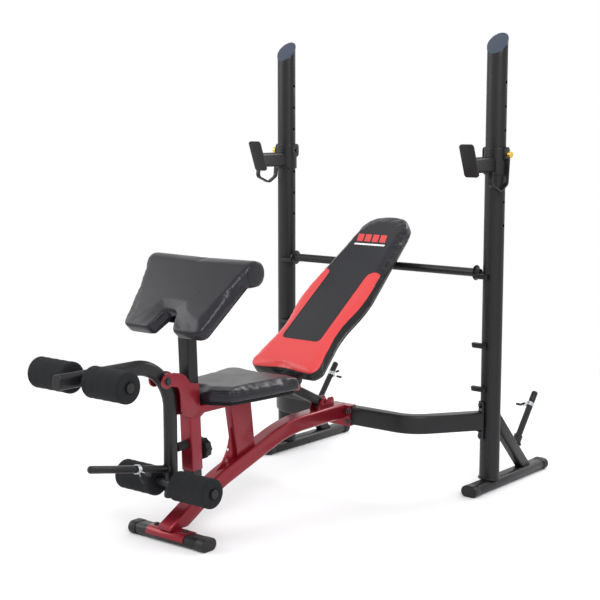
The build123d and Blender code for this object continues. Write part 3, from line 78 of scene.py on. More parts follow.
# Cushions
VOXEL = 0.0055
PIPING_RADIUS = 0.0013
COVER_SEAM_RADIUS = 0.0011
SEAT_THICKNESS = 0.044
BACKREST_THICKNESS = 0.048
SOFTEN_BEFORE = 12  # smoothing steps ahead of the simulation
SOFTEN_AFTER = 5
AIR_PRESSURE = 2.4
MOST_SWELL = 0.009  # furthest that the simulation may move a point
MOST_RISE = 0.006  # furthest that a face may stand above its CAD face
LOST_POINT = 1.0  # a point that moved this far, or to nowhere, is put back
LAST_FRAME = 20
WELT_DROP = 0.009  # from a cushion's face down to its edge welt

BEVEL = 0.0011

# Layout of the backrest's cover, measured up the pad from its lower edge
PANEL_HALF = 0.088
PANEL_LOW = 0.146
PANEL_CORNER = 0.018
CORAL_TOP = 0.533
CORAL_CORNER = 0.036
EMBLEM_LOW = 0.698
EMBLEM_HIGH = 0.740
EMBLEM_SLANT = -0.3
EMBLEM_HALF = 0.072
RULE_LOW = 0.677
RULE_HIGH = 0.686

COVER_SIDE = 0.0085  # below the face, where the backrest's side panel begins; below it the vinyl is painted darker as shade

# Small hardware and welds
FLANGE_TOP = 0.047
WELD_RADIUS = 0.0022
STORAGE_PEG_WELD = 0.129  # back along the peg from its collar to the weld at its boss
LEG_PEG_WELD = 0.124
PEG_RADIUS = 0.0125
BOLT_HEAD = 0.006
WASHER_RADIUS = 0.0115
HINGE_WASHER_RADIUS = 0.0145
UPRIGHT_WELD = (0.041, 0.033)

# Curl pad
CURL_ANGLE = radians(47.6)
CURL_THICKNESS = 0.046

# Foam rollers
ROLLER_BORE = 0.0135
ROLLER_EDGE = 0.009  # radius of the rounded edge
ROLLER_WAVE = 0.0006
ROLLER_SIDES = 96

# Spring collars
COLLAR_BORE = 0.01258
COLLAR_WIRE = 0.0016
COLLAR_LENGTH = 0.022
COLLAR_TURNS = 4
COLLAR_TAIL = 0.034
COLLAR_INSET = 0.0035  # from each end of the collar to the wire's first and last turn
COLLAR_STEPS = 40  # points in one turn of the wire

# Studio
CAMERA_FROM_UPRIGHTS = (3.00662, -4.23150, 1.40126)
CAMERA_YAW = radians(39.0678)
CAMERA_PITCH = radians(7.8769)
CAMERA_LENS = 78.766
FLOOR_REACH = 9.0
FLOOR_FADE = (1.3, 3.2)  # distances over which the floor turns into plain light
LAMP_TARGET = (0, -0.2, 0.7)
LAMPS = (("key", (3.2, -2.6, 3.4), 2.2, 120.0), ("fill", (-3.4, -2.2, 2.6), 2.6, 60.0),
         ("rim", (0.6, 3.6, 3.2), 2.4, 90.0))  # name, place, size, power


# ---------------------------------------------------------------- materials

def new_material(name):
    """Empty node material with its output; returns (material, nodes, link function)."""
    material = bpy.data.materials.new(name)
    material.use_nodes = True
    tree = material.node_tree
    tree.nodes.clear()
    return material, tree.nodes, tree.links.new


def principled(nodes, link):
    """Principled shader wired to the output, with the shared specular level."""
    shader = nodes.new("ShaderNodeBsdfPrincipled")
    shader.inputs["Specular IOR Level"].default_value = GLOSS
    output = nodes.new("ShaderNodeOutputMaterial")
    link(shader.outputs["BSDF"], output.inputs["Surface"])
    return shader


def surface(name, colour, roughness, metallic=0.0, coat=0.0, grain=900.0, relief=0.02, mottle=0.06):
    """Plain procedural finish: slight colour mottle, uneven roughness and a fine grain in relief."""
    material, nodes, link = new_material(name)
    shader = principled(nodes, link)
    shader.inputs["Metallic"].default_value = metallic
    shader.inputs["Coat Weight"].default_value = coat
    shader.inputs["Coat Roughness"].default_value = COAT_ROUGHNESS
    place = nodes.new("ShaderNodeTexCoord")
    cloud = noise(nodes, link, place, 7.0, 3.0)
    tone = mixed(nodes, link, cloud, shade(colour, 1 - mottle), shade(colour, 1 + mottle))
    link(tone, shader.inputs["Base Color"])
    link(spread(nodes, link, cloud, roughness * 0.9, roughness * 1.12), shader.inputs["Roughness"])
    fine = noise(nodes, link, place, grain, 2.0)
    link(bumped(nodes, link, fine, relief), shader.inputs["Normal"])
    return material


def noise(nodes, link, place, scale, detail):
    """Noise factor in object space."""
    texture = nodes.new("ShaderNodeTexNoise")
    texture.inputs["Scale"].default_value = scale
    texture.inputs["Detail"].default_value = detail
    link(place.outputs["Object"], texture.inputs["Vector"])
    return texture.outputs["Fac"]


def mixed(nodes, link, factor, low, high):
    """Colour between two colours; a colour may be a tuple or a socket."""
    mix = nodes.new("ShaderNodeMix")
    mix.data_type = "RGBA"
    link(factor, mix.inputs["Factor"])
    for value, socket in ((low, mix.inputs["A"]), (high, mix.inputs["B"])):
        if isinstance(value, tuple):
            socket.default_value = (*value, 1)
        else:
            link(value, socket)
    return mix.outputs["Result"]


def spread(nodes, link, factor, low, high):
    """Number between low and high."""
    remap = nodes.new("ShaderNodeMapRange")
    remap.inputs["From Min"].default_value = 0.3
    remap.inputs["From Max"].default_value = 0.7
    remap.inputs["To Min"].default_value = low
    remap.inputs["To Max"].default_value = high
    link(factor, remap.inputs["Value"])
    return remap.outputs["Result"]


def bumped(nodes, link, height, strength):
    """Surface normal with relief."""
    bump = nodes.new("ShaderNodeBump")
    bump.inputs["Strength"].default_value = strength * RELIEF_GAIN
    bump.inputs["Distance"].default_value = RELIEF_DEPTH
    link(height, bump.inputs["Height"])
    return bump.outputs["Normal"]


def shade(colour, factor):
    """Colour made darker or lighter."""
    return tuple(min(channel * factor, 1.0) for channel in colour)


def calc(nodes, link, operation, *values):
    """One math node; values are numbers or sockets."""
    node = nodes.new("ShaderNodeMath")
    node.operation = operation
    for socket, value in zip(node.inputs, values):
        if isinstance(value, (int, float)):
            socket.default_value = value
        else:
            link(value, socket)
    return node.outputs[0]


def leather_height(nodes, link, place):
    """Pebbled grain of vinyl, from small cells and soft noise."""
    cells = nodes.new("ShaderNodeTexVoronoi")
    cells.inputs["Scale"].default_value = PEBBLE_SCALE
    link(place.outputs["Object"], cells.inputs["Vector"])
    return calc(nodes, link, "ADD", cells.outputs["Distance"], noise(nodes, link, place, 60.0, 4.0))


def vinyl(name, colour):
    """Satin upholstery vinyl."""
    material, nodes, link = new_material(name)
    shader = principled(nodes, link)
    place = nodes.new("ShaderNodeTexCoord")
    cloud = noise(nodes, link, place, 9.0, 3.0)
    link(mixed(nodes, link, cloud, shade(colour, 0.9), shade(colour, 1.1)), shader.inputs["Base Color"])
    link(spread(nodes, link, cloud, *VINYL_ROUGHNESS), shader.inputs["Roughness"])
    link(bumped(nodes, link, leather_height(nodes, link, place), VINYL_RELIEF), shader.inputs["Normal"])
    return material


def along_axis(nodes, link, place, direction, offset):
    """Distance of a surface point along a direction, less an offset."""
    dot = nodes.new("ShaderNodeVectorMath")
    dot.operation = "DOT_PRODUCT"
    link(place.outputs["Object"], dot.inputs[0])
    dot.inputs[1].default_value = direction
    return calc(nodes, link, "SUBTRACT", dot.outputs["Value"], offset)


def rounded_corner(nodes, link, across, up, radius):
    """Signed distance to a quarter plane (across < 0, up < 0) with a rounded corner."""
    a = calc(nodes, link, "ADD", across, radius)
    b = calc(nodes, link, "ADD", up, radius)
    outside_a = calc(nodes, link, "MAXIMUM", a, 0.0)
    outside_b = calc(nodes, link, "MAXIMUM", b, 0.0)
    squares = calc(nodes, link, "ADD", calc(nodes, link, "POWER", outside_a, 2.0),
                   calc(nodes, link, "POWER", outside_b, 2.0))
    inside = calc(nodes, link, "MINIMUM", calc(nodes, link, "MAXIMUM", a, b), 0.0)
    distance = calc(nodes, link, "ADD", calc(nodes, link, "SQRT", squares), inside)
    return calc(nodes, link, "SUBTRACT", distance, radius)


def backrest_cover(axes):
    """Vinyl in black and coral: coral lower field and side strips round a black centre panel, with painted shade:
    the side panel below the face in darker vinyl.
    """
    origin, along, normal = axes
    material, nodes, link = new_material("backrest_cover")
    shader = principled(nodes, link)
    place = nodes.new("ShaderNodeTexCoord")
    up = along_axis(nodes, link, place, along, origin.dot(along))
    depth = along_axis(nodes, link, place, normal, origin.dot(normal))
    x = along_axis(nodes, link, place, (1, 0, 0), 0.0)
    aside = calc(nodes, link, "ABSOLUTE", x)
    panel = rounded_corner(nodes, link, calc(nodes, link, "SUBTRACT", aside, PANEL_HALF),
                           calc(nodes, link, "SUBTRACT", PANEL_LOW, up), PANEL_CORNER)
    strips = rounded_corner(nodes, link, calc(nodes, link, "SUBTRACT", PANEL_HALF, aside),
                            calc(nodes, link, "SUBTRACT", up, CORAL_TOP), CORAL_CORNER)
    low_field = calc(nodes, link, "MULTIPLY", calc(nodes, link, "GREATER_THAN", panel, 0.0),
                     calc(nodes, link, "LESS_THAN", up, 0.3))
    coral = calc(nodes, link, "MAXIMUM", low_field, calc(nodes, link, "LESS_THAN", strips, 0.0))
    coral = calc(nodes, link, "MAXIMUM", coral, emblem(nodes, link, x, up))
    top_face = calc(nodes, link, "GREATER_THAN", depth, -COVER_SIDE)
    coral = calc(nodes, link, "MULTIPLY", coral, top_face)
    cloud = noise(nodes, link, place, 9.0, 3.0)
    # painted shade: the side panel below the face takes the darker vinyl, the face the plain one
    dark = mixed(nodes, link, top_face, VINYL_WELT_AND_SHADED_SIDE, VINYL)
    coloured = mixed(nodes, link, coral, dark, CORAL)
    rule = band_mask(nodes, link, x, up, RULE_LOW, RULE_HIGH)
    link(mixed(nodes, link, rule, coloured, WHITE), shader.inputs["Base Color"])
    link(spread(nodes, link, cloud, *VINYL_ROUGHNESS), shader.inputs["Roughness"])
    link(bumped(nodes, link, leather_height(nodes, link, place), VINYL_RELIEF), shader.inputs["Normal"])
    return material


def band_mask(nodes, link, x, up, low, high):
    """Mask of a straight band across the middle of the backrest."""
    wide = calc(nodes, link, "LESS_THAN", calc(nodes, link, "ABSOLUTE", x), EMBLEM_HALF)
    above = calc(nodes, link, "GREATER_THAN", up, low)
    below = calc(nodes, link, "LESS_THAN", up, high)
    return calc(nodes, link, "MULTIPLY", wide, calc(nodes, link, "MULTIPLY", above, below))


def emblem(nodes, link, x, up):
    """Mask of a row of slanted bars, a plain mark near the top of the backrest."""
    rise = calc(nodes, link, "SUBTRACT", up, EMBLEM_LOW)
    slanted = calc(nodes, link, "SUBTRACT", x, calc(nodes, link, "MULTIPLY", rise, EMBLEM_SLANT))
    shifted = calc(nodes, link, "ADD", slanted, EMBLEM_HALF)
    phase = calc(nodes, link, "FRACT", calc(nodes, link, "MULTIPLY", shifted, 2.0 / EMBLEM_HALF))
    bars = calc(nodes, link, "LESS_THAN", phase, 0.78)
    return calc(nodes, link, "MULTIPLY", bars, band_mask(nodes, link, slanted, up, EMBLEM_LOW, EMBLEM_HIGH))


def make_materials(axes):
    """Every finish of the object, by record slot or by use."""
    return {
        "black_paint": surface("black_paint", BLACK_PAINT, 0.40, coat=0.05, grain=700, relief=0.03),
        "red_paint": surface("red_paint", RED_PAINT, 0.34, metallic=0.55, coat=0.35, grain=1100,
                             relief=0.012),
        "cap_grey": surface("cap_grey", CAP_BLUE, 0.52, grain=500, relief=0.05),
        "dark_steel": surface("dark_steel", DARK_STEEL, 0.38, metallic=0.9, grain=500, relief=0.02),
        "black_plastic": surface("black_plastic", BACKING, 0.45, grain=600, relief=0.05),
        "rubber": surface("rubber", RUBBER, 0.8, grain=400, relief=0.08),
        "zinc": surface("zinc", ZINC, 0.32, metallic=1.0, grain=300, relief=0.02),
        "gold": surface("gold", GOLD, 0.28, metallic=1.0, grain=300, relief=0.01),
        "plywood": surface("board_cloth", BACKING, 0.9, grain=1400, relief=0.12),
        "vinyl": vinyl("vinyl", VINYL),
        "vinyl_edge": vinyl("vinyl_edge", VINYL_WELT_AND_SHADED_SIDE),
        "foam": surface("foam", FOAM, 0.93, grain=1600, relief=0.16, mottle=0.14),
        "backrest": backrest_cover(axes),
    }


# ---------------------------------------------------------------- helpers

def add_object(name, data, material, body):
    """Link a new object, give it its finish and let it ride on a body."""
    obj = bpy.data.objects.new(name, data)
    bpy.context.scene.collection.objects.link(obj)
    data.materials.clear()
    data.materials.append(material)
    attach(obj, body)
    return obj


def bake(obj):
    """Replace the object's mesh by its evaluated one and drop its modifiers."""
    graph = bpy.context.evaluated_depsgraph_get()
    mesh = bpy.data.meshes.new_from_object(obj.evaluated_get(graph))
    obj.modifiers.clear()
    old = obj.data
    obj.data = mesh
    bpy.data.meshes.remove(old)


def tube(name, points, radius, material, body, closed=False, sides=6):
    """Round wire or bead along points, as a mesh."""
    curve = bpy.data.curves.new(name + "_path", "CURVE")
    curve.dimensions = "3D"
    curve.bevel_depth = radius
    curve.bevel_resolution = sides // 2
    curve.use_fill_caps = not closed
    spline = curve.splines.new("POLY")
    spline.points.add(len(points) - 1)
    for spot, point in zip(spline.points, points):
        spot.co = (*point, 1)
    spline.use_cyclic_u = closed
    path = bpy.data.objects.new(name + "_path", curve)
    bpy.context.scene.collection.objects.link(path)
    graph = bpy.context.evaluated_depsgraph_get()
    mesh = bpy.data.meshes.new_from_object(path.evaluated_get(graph))
    bpy.data.objects.remove(path)
    mesh.name = name
    mesh.shade_smooth()
    return add_object(name, mesh, material, body)


def join_meshes(name, parts, material, body):
    """One object from several vertex and face lists."""
    vertices, faces = [], []
    for part_vertices, part_faces in parts:
        base = len(vertices)
        vertices += part_vertices
        faces += [tuple(i + base for i in face) for face in part_faces]
    mesh = bpy.data.meshes.new(name)
    mesh.from_pydata([tuple(v) for v in vertices], [], faces)
    mesh.shade_smooth()
    return add_object(name, mesh, material, body)


def turned(profile, centre, axis, sides=48):
    """Vertices and faces of a profile of (distance along the axis, radius) turned round it."""
    axis = Vector(axis).normalized()
    side = axis.orthogonal().normalized()
    other = axis.cross(side)
    vertices = []
    for along, radius in profile:
        for i in range(sides):
            angle = 2 * pi * i / sides
            spoke = side * cos(angle) + other * sin(angle)
            vertices.append(Vector(centre) + axis * along + spoke * radius)
    faces = []
    for ring in range(len(profile) - 1):
        for i in range(sides):
            j = (i + 1) % sides
            near, far = ring * sides, (ring + 1) * sides
            faces.append((near + i, near + j, far + j, far + i))
    faces.append(tuple(reversed(range(sides))))
    faces.append(tuple((len(profile) - 1) * sides + i for i in range(sides)))
    return vertices, faces


# ---------------------------------------------------------------- hard pieces

def dress_frame(materials, soft_nodes):
    """Give every hard CAD node its finish and softened edges."""
    for entry in frame["record"]["subparts"]:
        node = entry["node"]
        if node in soft_nodes:
            continue
        obj = NODES[node]
        obj.data.materials.clear()
        obj.data.materials.append(materials[entry["material_slot"]])
        weld = obj.modifiers.new("weld", "WELD")
        weld.merge_threshold = 0.00001
        flat = obj.modifiers.new("flat", "DECIMATE")
        flat.decimate_type = "DISSOLVE"
        flat.angle_limit = radians(0.4)
        bevel = obj.modifiers.new("bevel", "BEVEL")
        bevel.width = BEVEL
        bevel.segments = 2
        bevel.limit_method = "ANGLE"
        bevel.angle_limit = radians(38)
        bevel.harden_normals = True
        obj.data.shade_smooth()


# ---------------------------------------------------------------- cushions

def pad_axes(node, along, normal):
    """Origin at the lower edge of a pad's face, with its directions."""
    points = [vertex.co for vertex in NODES[node].data.vertices]
    low = min(point.dot(along) for point in points)
    top = max(point.dot(normal) for point in points)
    return along * low + normal * top, along, normal


def soft_copy(node, name):
    """Fine, even mesh in the shape of a CAD cushion."""
    obj = bpy.data.objects.new(name, NODES[node].data.copy())
    bpy.context.scene.collection.objects.link(obj)
    remesh = obj.modifiers.new("remesh", "REMESH")
    remesh.mode = "VOXEL"
    remesh.voxel_size = VOXEL * 1
    smooth = obj.modifiers.new("smooth", "SMOOTH")
    smooth.factor = 0.5
    smooth.iterations = SOFTEN_BEFORE
    bake(obj)
    return obj


def inflate(obj, held, pressure, most):
    """Blow the cushion's cover up against its held underside, moving no point further than most."""
    before = [vertex.co.copy() for vertex in obj.data.vertices]
    group = obj.vertex_groups.new(name="held")
    group.add([v.index for v in obj.data.vertices if held(v.co)], 1.0, "REPLACE")
    cloth = obj.modifiers.new("cloth", "CLOTH")
    settings = cloth.settings
    settings.quality = 6
    settings.mass = 0.35
    settings.tension_stiffness = 28
    settings.compression_stiffness = 28
    settings.shear_stiffness = 12
    settings.bending_stiffness = 2.0
    settings.use_pressure = True
    settings.uniform_pressure_force = pressure
    settings.vertex_group_mass = "held"
    settings.effector_weights.gravity = 0.0
    cloth.point_cache.frame_start = 1
    cloth.point_cache.frame_end = LAST_FRAME
    scene = bpy.context.scene
    for number in range(1, LAST_FRAME + 1):
        scene.frame_set(number)
    bake(obj)
    scene.frame_set(1)
    for vertex, old in zip(obj.data.vertices, before):
        step = vertex.co - old
        if step.length > most:
            vertex.co = old + step * (most / step.length)
        if not step.length < LOST_POINT:
            vertex.co = old


def settle(obj, top, normal):
    """Press down anything that stands more than MOST_RISE above the face's plane."""
    for vertex in obj.data.vertices:
        over = vertex.co.dot(normal) - top - MOST_RISE
        if over > 0:
            vertex.co -= normal * over


def finish_cushion(obj, node, body, material):
    """Last smoothing step and the cushion's place in the frame."""
    smooth = obj.modifiers.new("smooth", "SMOOTH")
    smooth.factor = 0.5
    smooth.iterations = SOFTEN_AFTER
    divide = obj.modifiers.new("divide", "SUBSURF")
    divide.levels = 1
    divide.render_levels = divide.levels
    bake(obj)
    obj.data.materials.clear()
    obj.data.materials.append(material)
    obj.data.shade_smooth()
    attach(obj, body)
    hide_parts(node)


def cushion(node, name, body, normal, thickness, material, free_roll=None):
    """Simulated cushion in place of a CAD pad; returns the object."""
    obj = soft_copy(node, name)
    points = [vertex.co for vertex in NODES[node].data.vertices]
    top = max(point.dot(normal) for point in points)
    base = top - thickness + VOXEL * 1.2

    def held(point):
        return point.dot(normal) < base and not (free_roll and free_roll(point))

    inflate(obj, held, AIR_PRESSURE, MOST_SWELL)
    settle(obj, top, normal)
    finish_cushion(obj, node, body, material)
    return obj


def drape_line(obj, points, normal, lift):
    """Points dropped along the normal onto a cushion and raised a little."""
    tree = BVHTree.FromObject(obj, bpy.context.evaluated_depsgraph_get())
    dropped = []
    for point in points:
        hit = tree.ray_cast(point + normal * 0.08, -normal)
        if hit[0] is not None:
            dropped.append(hit[0] + normal * lift)
    return dropped


def outline_of(node, normal, drop):
    """Closed outline of a pad at a level below its face, ordered round its middle."""
    points = [vertex.co for vertex in NODES[node].data.vertices]
    top = max(point.dot(normal) for point in points)
    ring = [p for p in points if abs(p.dot(normal) - (top - drop)) < 0.0015]
    centre = sum(ring, Vector()) / len(ring)
    side = Vector((1, 0, 0))
    up = normal.cross(side)
    return sorted(ring, key=lambda p: atan2((p - centre).dot(up), (p - centre).dot(side)))


def edge_seam(obj, node, normal, body, material):
    """Sewn welt where the cushion's face panel meets its side panel."""
    line = on_surface(obj, resample(outline_of(node, normal, WELT_DROP), 0.005))
    tube(node + "_welt", line, PIPING_RADIUS, material, body, closed=True)


def roll_seams(obj, node, body, material):
    """Sewn welts round both ends of the curl pad's roll."""
    points = [vertex.co for vertex in NODES[node].data.vertices]
    half = max(point.x for point in points)
    ring = [point for point in points if point.x > half - 0.0005]
    centre = sum(ring, Vector()) / len(ring)
    radius = max((point - centre).length for point in ring)
    for sign in (1, -1):
        circle = [Vector((sign * half, centre.y + radius * cos(2 * pi * i / 72),
                          centre.z + radius * sin(2 * pi * i / 72))) for i in range(72)]
        name = f"{node}_roll_welt_{'left' if sign > 0 else 'right'}"
        tube(name, on_surface(obj, circle), PIPING_RADIUS, material, body, closed=True)


def on_surface(obj, points):
    """Nearest points of a mesh to the given ones."""
    tree = BVHTree.FromObject(obj, bpy.context.evaluated_depsgraph_get())
    return [tree.find_nearest(point)[0] for point in points]


def resample(points, spacing, closed=True):
    """Evenly spaced points along a polyline."""
    chain = points + points[:1] if closed else points
    result, carry = [], 0.0
    for start, end in zip(chain, chain[1:]):
        length = (end - start).length
        while carry < length:
            result.append(start.lerp(end, carry / length))
            carry += spacing
        carry -= length
    return result


def build_cushions(materials, axes, curl):
    """Seat, backrest and curl pad."""
    up = Vector((0, 0, 1))
    seat = cushion("seat_pad", "seat_cushion", "frame", up, SEAT_THICKNESS, materials["vinyl"])
    back = cushion("backrest_pad", "backrest_cushion", "backrest", axes[2], BACKREST_THICKNESS,
                   materials["backrest"])
    roll_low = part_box("curl_pad")[1].y - 0.1

    def on_roll(point):
        return point.y > roll_low

    pad = cushion("curl_pad", "curl_cushion", "curl_pad_post", curl[2], CURL_THICKNESS,
                  materials["vinyl"], on_roll)
    edge_seam(seat, "seat_pad", up, "frame", materials["vinyl_edge"])
    edge_seam(back, "backrest_pad", axes[2], "backrest", materials["vinyl_edge"])
    roll_seams(pad, "curl_pad", "curl_pad_post", materials["vinyl_edge"])
    return back


def cover_seam(back, axes, material):
    """Raised seam round the coral field of the backrest."""
    origin, along, normal = axes
    outer = PANEL_HALF + CORAL_CORNER
    bend = CORAL_TOP - CORAL_CORNER
    path = [(outer + 0.008, CORAL_TOP), (outer, CORAL_TOP)]
    path += quarter((outer, bend), CORAL_CORNER, pi / 2, pi)
    path += quarter((PANEL_HALF - PANEL_CORNER, PANEL_LOW + PANEL_CORNER), PANEL_CORNER, 0, -pi / 2)
    path += [(-x, up) for x, up in reversed(path)]
    world = [origin + Vector((x, 0, 0)) + along * up for x, up in path]
    line = drape_line(back, resample(world, 0.004, closed=False), normal, 0.0001)
    tube("backrest_cover_seam", line, COVER_SEAM_RADIUS, material, "backrest")


def quarter(centre, radius, start, end, steps=8):
    """Points along an arc in the plane of the pad."""
    angles = [start + (end - start) * i / steps for i in range(steps + 1)]
    return [(centre[0] + radius * cos(a), centre[1] + radius * sin(a)) for a in angles]


# ---------------------------------------------------------------- foam rollers

def roller(node, body, material):
    """Foam sleeve with softly rounded, slightly dished ends."""
    low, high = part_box(node)
    centre = (low + high) / 2
    half = (high.x - low.x) / 2
    radius = (high.z - low.z) / 2
    profile = [(-half + 0.004, ROLLER_BORE), (-half + 0.0015, 0.024), (-half, 0.036)]
    for i in range(7):
        angle = pi / 2 * i / 6
        inward, down = ROLLER_EDGE * (1 - cos(angle)), ROLLER_EDGE * (1 - sin(angle))
        profile.append((-half + inward, radius - down))
    for i in range(1, 12):
        along = -half + ROLLER_EDGE + (2 * half - 2 * ROLLER_EDGE) * i / 12
        profile.append((along, radius - ROLLER_WAVE * (1 + sin(i * 2.1))))
    profile += [(-along, wide) for along, wide in reversed(profile[:10])]
    vertices, faces = turned(profile, centre, (1, 0, 0), ROLLER_SIDES)
    faces = faces[:-2]
    last = (len(profile) - 1) * ROLLER_SIDES
    for i in range(ROLLER_SIDES):
        j = (i + 1) % ROLLER_SIDES
        faces.append((last + i, last + j, j, i))
    obj = join_meshes(node + "_foam", [(vertices, faces)], material, body)
    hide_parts(node)
    return obj


# ---------------------------------------------------------------- spring collars

def spring_collar(node, axis, materials):
    """Coil of wire with two lever ends in plastic grips, in place of the plain CAD collar."""
    points = [vertex.co for vertex in NODES[node].data.vertices]
    base = collar_centre(node, axis)
    far = max(points, key=lambda p: (p - base).cross(axis).length)
    outward = (far - base) - axis * (far - base).dot(axis)
    outward.normalize()
    across = axis.cross(outward)
    wound = COLLAR_BORE + COLLAR_WIRE
    path = []
    for i in range(COLLAR_TURNS * COLLAR_STEPS + 1):
        angle = 2 * pi * i / COLLAR_STEPS
        share = i / (COLLAR_TURNS * COLLAR_STEPS)
        rise = COLLAR_INSET + (COLLAR_LENGTH - 2 * COLLAR_INSET) * share
        path.append(base + axis * rise + (outward * cos(angle) + across * sin(angle)) * wound)
    tails = []
    for sign, root in ((1, path[0]), (-1, path[-1])):
        direction = (outward + across * 0.35 * sign).normalized()
        tails.append((root + direction * COLLAR_TAIL, direction))
    wire = [tails[0][0]] + path + [tails[1][0]]
    tube(node + "_wire", wire, COLLAR_WIRE, materials["zinc"], node, sides=8)
    profile = [(0.0, 0.003), (0.001, 0.0045), (0.018, 0.005), (0.023, 0.0045), (0.0245, 0.002)]
    parts = [turned(profile, tip - direction * 0.014, direction, 20) for tip, direction in tails]
    grips = join_meshes(node + "_grips", parts, materials["black_plastic"], node)
    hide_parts(node)


# ---------------------------------------------------------------- welds and washers

def bead(name, centre, axis, radii, material, body):
    """Weld bead round a round or oval foot, with the small waves of a hand weld."""
    axis = Vector(axis).normalized()
    side = Vector((1, 0, 0)) - axis * axis.x
    if side.length < 0.1:
        side = Vector((0, 1, 0))
    side.normalize()
    other = axis.cross(side)
    points = []
    for i in range(96):
        angle = 2 * pi * i / 96
        wave = 1 + 0.012 * sin(24 * angle)
        spoke = side * (radii[0] * cos(angle)) + other * (radii[1] * sin(angle))
        points.append(Vector(centre) + spoke * wave)
    tube(name, points, WELD_RADIUS, material, body, closed=True)


def collar_centre(node, axis):
    """Middle of the ring of a CAD spring collar, at its lower end."""
    points = [vertex.co for vertex in NODES[node].data.vertices]
    start = min(point.dot(axis) for point in points)
    ring = [point for point in points if point.dot(axis) < start + 0.0005]
    return sum(ring, Vector()) / len(ring)


def weld_beads(materials, collar_bases):
    """Beads at the feet of the uprights and of the three weight pegs."""
    paint = materials["black_paint"]
    radii = (PEG_RADIUS + 0.001, PEG_RADIUS + 0.001)
    for hand in ("left", "right"):
        low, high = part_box(f"upright_{hand}")
        centre = ((low.x + high.x) / 2, (low.y + high.y) / 2, FLANGE_TOP)
        bead(f"upright_weld_{hand}", centre, (0, 0, 1), UPRIGHT_WELD, paint, "frame")
        axis = Vector(JOINTS[f"peg_collar_{hand}_slide"]["axis"]).normalized()
        base = collar_bases[f"peg_collar_{hand}"] - axis * STORAGE_PEG_WELD
        bead(f"storage_peg_weld_{hand}", base, axis, radii, paint, "frame")
    axis = Vector(JOINTS["leg_peg_collar_slide"]["axis"]).normalized()
    base = collar_bases["leg_peg_collar"] - axis * LEG_PEG_WELD
    bead("leg_peg_weld", base, axis, radii, paint, "leg_developer")


def islands(mesh):
    """Vertex groups of a mesh that are joined by faces, as lists of points."""
    owner = list(range(len(mesh.vertices)))

    def root(i):
        while owner[i] != i:
            owner[i] = owner[owner[i]]
            i = owner[i]
        return i

    keys = {}
    for vertex in mesh.vertices:
        key = tuple(round(value, 5) for value in vertex.co)
        owner[root(vertex.index)] = root(keys.setdefault(key, vertex.index))
    for face in mesh.polygons:
        for index in face.vertices[1:]:
            owner[root(index)] = root(face.vertices[0])
    groups = {}
    for vertex in mesh.vertices:
        groups.setdefault(root(vertex.index), []).append(vertex.co)
    return list(groups.values())


def washer_profile(radius):
    """Section of a flat washer with a softened rim."""
    return [(-0.0001, radius), (0.0011, radius), (0.0014, radius - 0.001)]


def washers(materials):
    """A flat washer under the head of every frame bolt and of the two hinge bolts."""
    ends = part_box("crossbeam")
    arm = Vector((ends[1].x, ends[1].y, 0)) - Vector((0.315, ends[0].y + 0.025, 0))
    arm.normalize()
    ways = [Vector((0, 0, 1)), Vector((0, -1, 0)), -arm, Vector((arm.x, -arm.y, 0))]
    parts = []
    for points in islands(NODES["frame_bolts"].data):
        spans = [max(p.dot(way) for p in points) - min(p.dot(way) for p in points) for way in ways]
        way = ways[spans.index(max(spans))]
        top = max(p.dot(way) for p in points)
        middle = sum(points, Vector()) / len(points)
        seat = middle + way * (top - BOLT_HEAD - middle.dot(way))
        parts.append(turned(washer_profile(WASHER_RADIUS), seat, way, 28))
    for node in ("pivot_bolt", "hinge_bolt"):
        low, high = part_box(node)
        for sign, face in ((1, high.x - 0.007), (-1, low.x + 0.004 + 0.010)):
            seat = Vector((face, (low.y + high.y) / 2, (low.z + high.z) / 2))
            parts.append(turned(washer_profile(HINGE_WASHER_RADIUS), seat, (sign, 0, 0), 32))
    join_meshes("washers", parts, materials["dark_steel"], "frame")


# ---------------------------------------------------------------- studio

def make_studio():
    """Pale floor that fades into the background, soft lights and the camera."""
    mesh = bpy.data.meshes.new("floor")
    reach = FLOOR_REACH
    corners = [(-reach, -reach, 0), (reach, -reach, 0), (reach, reach, 0), (-reach, reach, 0)]
    mesh.from_pydata(corners, [], [(0, 1, 2, 3)])
    floor = bpy.data.objects.new("floor", mesh)
    bpy.context.scene.collection.objects.link(floor)
    mesh.materials.append(floor_material())
    world = bpy.data.worlds.new("studio")
    world.use_nodes = True
    world.node_tree.nodes["Background"].inputs["Color"].default_value = (1.0, 1.0, 1.0, 1)
    world.node_tree.nodes["Background"].inputs["Strength"].default_value = 1.0
    bpy.context.scene.world = world
    bpy.context.scene.view_settings.view_transform = "Standard"
    for name, place, size, power in LAMPS:
        lamp = bpy.data.lights.new(name, "AREA")
        lamp.size = size
        lamp.energy = power
        obj = bpy.data.objects.new(name, lamp)
        obj.location = place
        obj.rotation_mode = "QUATERNION"
        obj.rotation_quaternion = (Vector(LAMP_TARGET) - Vector(place)).to_track_quat("-Z", "Y")
        bpy.context.scene.collection.objects.link(obj)
    camera_data = bpy.data.cameras.new("camera")
    camera_data.lens = CAMERA_LENS
    camera_data.sensor_width = 36.0
    camera = bpy.data.objects.new("camera", camera_data)
    uprights = (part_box("upright_left")[0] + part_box("upright_left")[1]) / 2
    camera.location = Vector((0, uprights.y, 0)) + Vector(CAMERA_FROM_UPRIGHTS)
    camera.rotation_euler = (pi / 2 - CAMERA_PITCH, 0, CAMERA_YAW)
    bpy.context.scene.collection.objects.link(camera)
    bpy.context.scene.camera = camera


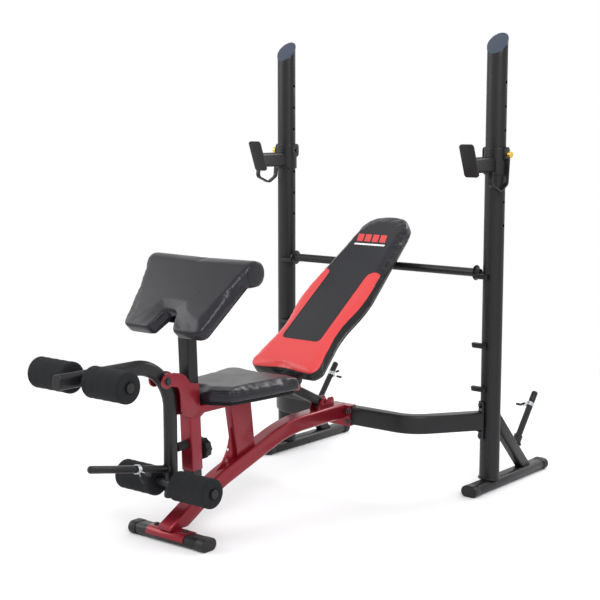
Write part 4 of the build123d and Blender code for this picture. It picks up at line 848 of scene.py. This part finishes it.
def floor_material():
    """White floor that turns into plain white light away from the object."""
    material, nodes, link = new_material("floor")
    output = nodes.new("ShaderNodeOutputMaterial")
    diffuse = nodes.new("ShaderNodeBsdfDiffuse")
    diffuse.inputs["Color"].default_value = (0.82, 0.82, 0.83, 1)
    glow = nodes.new("ShaderNodeEmission")
    blend = nodes.new("ShaderNodeMixShader")
    place = nodes.new("ShaderNodeTexCoord")
    length = nodes.new("ShaderNodeVectorMath")
    length.operation = "LENGTH"
    link(place.outputs["Object"], length.inputs[0])
    fade = nodes.new("ShaderNodeMapRange")
    fade.interpolation_type = "SMOOTHSTEP"
    fade.inputs["From Min"].default_value = FLOOR_FADE[0]
    fade.inputs["From Max"].default_value = FLOOR_FADE[1]
    link(length.outputs["Value"], fade.inputs["Value"])
    link(fade.outputs["Result"], blend.inputs["Fac"])
    link(diffuse.outputs["BSDF"], blend.inputs[1])
    link(glow.outputs["Emission"], blend.inputs[2])
    link(blend.outputs["Shader"], output.inputs["Surface"])
    return material


# ---------------------------------------------------------------- build

SOFT_NODES = ["seat_pad", "backrest_pad", "curl_pad", "foam_roller_upper_left", "foam_roller_upper_right",
              "foam_roller_lower_left", "foam_roller_lower_right", "peg_collar_left", "peg_collar_right",
              "leg_peg_collar"]
BACK_ALONG = Vector(JOINTS["support_bar_lift"]["axis"]).normalized()
BACK_NORMAL = Vector((0, -BACK_ALONG.z, BACK_ALONG.y))
CURL_ALONG = Vector((0, cos(CURL_ANGLE), sin(CURL_ANGLE)))
CURL_NORMAL = Vector((0, -sin(CURL_ANGLE), cos(CURL_ANGLE)))

back_axes = pad_axes("backrest_pad", BACK_ALONG, BACK_NORMAL)
curl_axes = pad_axes("curl_pad", CURL_ALONG, CURL_NORMAL)
finishes = make_materials(back_axes)
dress_frame(finishes, SOFT_NODES)
back_cushion = build_cushions(finishes, back_axes, curl_axes)
cover_seam(back_cushion, back_axes, finishes["vinyl_edge"])
for level in ("upper", "lower"):
    for hand in ("left", "right"):
        roller(f"foam_roller_{level}_{hand}", f"roller_{level}_{hand}", finishes["foam"])
bases = {}
for node in ("peg_collar_left", "peg_collar_right", "leg_peg_collar"):
    slide = Vector(JOINTS[node + "_slide"]["axis"]).normalized()
    bases[node] = collar_centre(node, slide)
    spring_collar(node, slide, finishes)
weld_beads(finishes, bases)
washers(finishes)
make_studio()
